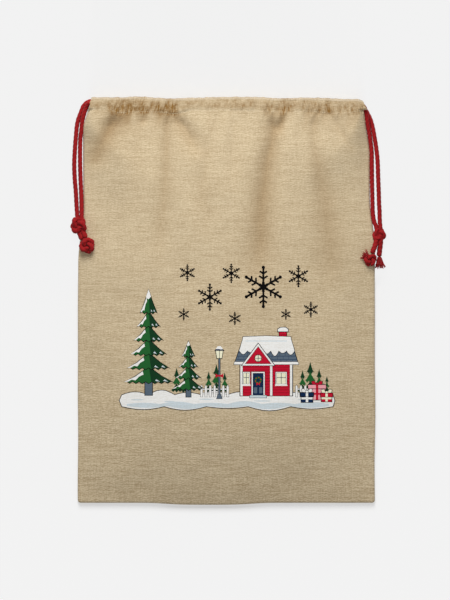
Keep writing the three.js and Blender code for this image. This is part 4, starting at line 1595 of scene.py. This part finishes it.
def topShapes(middles):
    # the last shape drawn over each point, or -1 on bare cloth
    top = np.full(len(middles), -1)
    for number, (_, outline) in enumerate(printed):
        a = np.array(outline)
        low, high = a.min(axis=0), a.max(axis=0)
        near = np.flatnonzero(np.all((middles > low) & (middles < high), axis=1))
        x, y = middles[near].T
        inside = np.zeros(len(near), dtype=bool)
        for (ax, ay), (bx, by) in zip(a, np.roll(a, -1, axis=0)):
            if ay != by:
                inside ^= ((ay > y) != (by > y)) & (x < (bx - ax) * (y - ay) / (by - ay) + ax)
        top[near[inside]] = number
    return top


def shortSteps(outline):
    # long straight edges get points between their ends, so that the ink can follow the cloth
    steps = []
    for (ax, ay), (bx, by) in zip(outline, outline[1:] + outline[:1]):
        count = math.ceil(math.hypot(bx - ax, by - ay) / picture["mesh"])
        steps += [(mix(ax, bx, k / count), mix(ay, by, k / count)) for k in range(count)]
    return steps


def layFlat():
    # all outlines in one flat mesh, each of its faces with the number of the shape that lies on top there
    points = []
    borders = []
    for _, outline in printed:
        outline = shortSteps(outline)
        first, count = len(points), len(outline)
        borders += [(first + k, first + (k + 1) % count) for k in range(count)]
        points += outline
    xs, ys = zip(*points)
    step = picture["mesh"]
    grid = [(x, y) for x in np.arange(min(xs), max(xs), step) for y in np.arange(min(ys), max(ys), step)]
    laid = geometry.delaunay_2d_cdt([Vector(point) for point in points + grid], borders, [], 0, 1e-4, False)
    flat, faces = laid[0], laid[2]
    middles = np.array([sum((flat[corner] for corner in face), Vector((0, 0))) / len(face) for face in faces])
    return flat, [(face, top) for face, top in zip(faces, topShapes(middles)) if top >= 0]


def drapePoint(x, y):
    # a point of the ink film on the front cloth, with its UV
    half = frontCloth["left" if x < 0 else "right"]
    across = x / float(halfWidthAt(y, x < 0)) * sack["halfWidth"]
    return (x, y, topOf(half, x, y) + picture["film"]), (across, y - sack["bottomY"])


def makePrint():
    drawPicture()
    flat, faces = layFlat()
    used = sorted({corner for face, _ in faces for corner in face})
    order = {old: new for new, old in enumerate(used)}
    corners, uv = zip(*(drapePoint(flat[old].x * mm, flat[old].y * mm) for old in used))
    mesh = bpy.data.meshes.new("winter_print")
    mesh.from_pydata(corners, [], [[order[corner] for corner in face] for face, _ in faces])
    piece = bpy.data.objects.new("winter_print", mesh)
    bpy.context.collection.objects.link(piece)
    group = makeInkGroup()
    names = list(inks)
    for ink in names:
        mesh.materials.append(inkMaterial(ink, group))
    mesh.polygons.foreach_set("material_index", [names.index(printed[top][0]) for _, top in faces])
    layer = mesh.uv_layers.new(name="UVMap")
    for loop in mesh.loops:
        layer.data[loop.index].uv = uv[loop.vertex_index]
    selectOnly(piece)
    bpy.ops.object.shade_smooth()
    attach(piece, "sack_cloth")


makePrint()
print("print made")


# Floor and light

studio = {
    "background": 0.887, "worldStrength": 0.40,
    "lampPlace": (-0.12, 1.35, 1.05), "lampSize": 0.9, "lampPower": 28.2, "lampSpill": 0.28,
    "floorSize": 8, "floorZ": -0.0002, "floorAlbedo": 0.80,
    # how much of a shadow the floor shows: in general, beside the cords and below the sack, with the places
    "shadowShare": 0.624, "cordShare": 0.03, "footShare": 0.97,
    "cordX": (0.218, 0.240), "cordY": (0.020, 0.046), "footY": (-0.344, -0.352),
}


def lampLight(tree, position):
    # what the lamp and the world throw on the bare floor at a place
    lamp = Vector(studio["lampPlace"])
    toLamp = vectorCalc(tree, "SUBTRACT", lamp, position)
    reach = vectorCalc(tree, "LENGTH", toLamp)
    fromAxis = calc(tree, "DIVIDE", vectorCalc(tree, "DOT_PRODUCT", toLamp, lamp.normalized()), reach)
    fromFloor = calc(tree, "DIVIDE", lamp.z, reach)
    square = calc(tree, "MULTIPLY", reach, reach)
    lit = calc(tree, "DIVIDE", calc(tree, "MULTIPLY", fromAxis, fromFloor), square)
    spill = calc(tree, "DIVIDE", studio["lampSpill"] * studio["lampSize"] ** 2, square)
    lit = calc(tree, "MULTIPLY", lit, calc(tree, "SUBTRACT", 1, spill))
    return calc(tree, "MULTIPLY_ADD", lit, studio["lampPower"] / math.pi ** 2, studio["worldStrength"])


def shadowShareAt(tree, position):
    # shadows are faint beside the cords and strongest below the sack
    x, y, _ = partsOf(tree, position)
    beside = softRamp(tree, calc(tree, "ABSOLUTE", x), studio["cordX"], 0, 1)
    byCords = calc(tree, "MULTIPLY", beside, softRamp(tree, y, studio["cordY"], 0, 1))
    share = softRamp(tree, y, studio["footY"], studio["shadowShare"], studio["footShare"])
    return calc(tree, "MULTIPLY_ADD", byCords, studio["cordShare"] - studio["shadowShare"], share)


def floorMaterial():
    # seen directly, the bare floor is the background's tone all over: the glow gives what the lamp leaves out
    material = bpy.data.materials.new("studioFloor")
    material.use_nodes = True
    tree = material.node_tree
    tree.nodes.clear()
    rays = addNode(tree, "LightPath").outputs
    seen = calc(tree, "MAXIMUM", rays["Is Camera Ray"], rays["Is Glossy Ray"])
    seen = calc(tree, "MAXIMUM", seen, rays["Is Transmission Ray"])
    diffuse = addNode(tree, "BsdfDiffuse", blendColours(tree, seen, [studio["floorAlbedo"]] * 3, (1, 1, 1)))
    position = addNode(tree, "NewGeometry").outputs["Position"]
    share = shadowShareAt(tree, position)
    missing = calc(tree, "MULTIPLY", lampLight(tree, position), share)
    missing = calc(tree, "SUBTRACT", studio["background"], missing)
    glowShare = calc(tree, "SUBTRACT", 1, share)
    glow = addNode(tree, "Emission")
    link(tree, calc(tree, "DIVIDE", missing, glowShare), glow.inputs["Strength"])
    seenGlow = calc(tree, "MULTIPLY", seen, glowShare)
    shader = addNode(tree, "MixShader", seenGlow, diffuse.outputs[0], glow.outputs[0])
    addNode(tree, "OutputMaterial", shader.outputs[0])
    return material


def addFloor():
    bpy.ops.object.select_all(action="DESELECT")
    bpy.ops.mesh.primitive_plane_add(size=studio["floorSize"], location=(0, 0, studio["floorZ"]))
    floor = bpy.context.object
    floor.name = "floor"
    dress(floor, floorMaterial())


def addLights():
    world = bpy.data.worlds.new("softStudio")
    bpy.context.scene.world = world
    world.use_nodes = True
    tree = world.node_tree
    rays = addNode(tree, "LightPath").outputs
    shine = tree.nodes["Background"]
    seen = calc(tree, "MULTIPLY", rays["Is Camera Ray"], studio["background"] - studio["worldStrength"])
    link(tree, calc(tree, "ADD", seen, studio["worldStrength"]), shine.inputs["Strength"])
    shine.inputs["Color"].default_value = (1, 1, 1, 1)
    place = Vector(studio["lampPlace"])
    aim = (Vector((0, 0, 0)) - place).to_track_quat("-Z", "Y").to_euler()
    bpy.ops.object.light_add(type="AREA", location=place, rotation=aim)
    lamp = bpy.context.object
    lamp.data.size = studio["lampSize"]
    lamp.data.energy = studio["lampPower"]


addFloor()
addLights()
print("floor and lights placed")
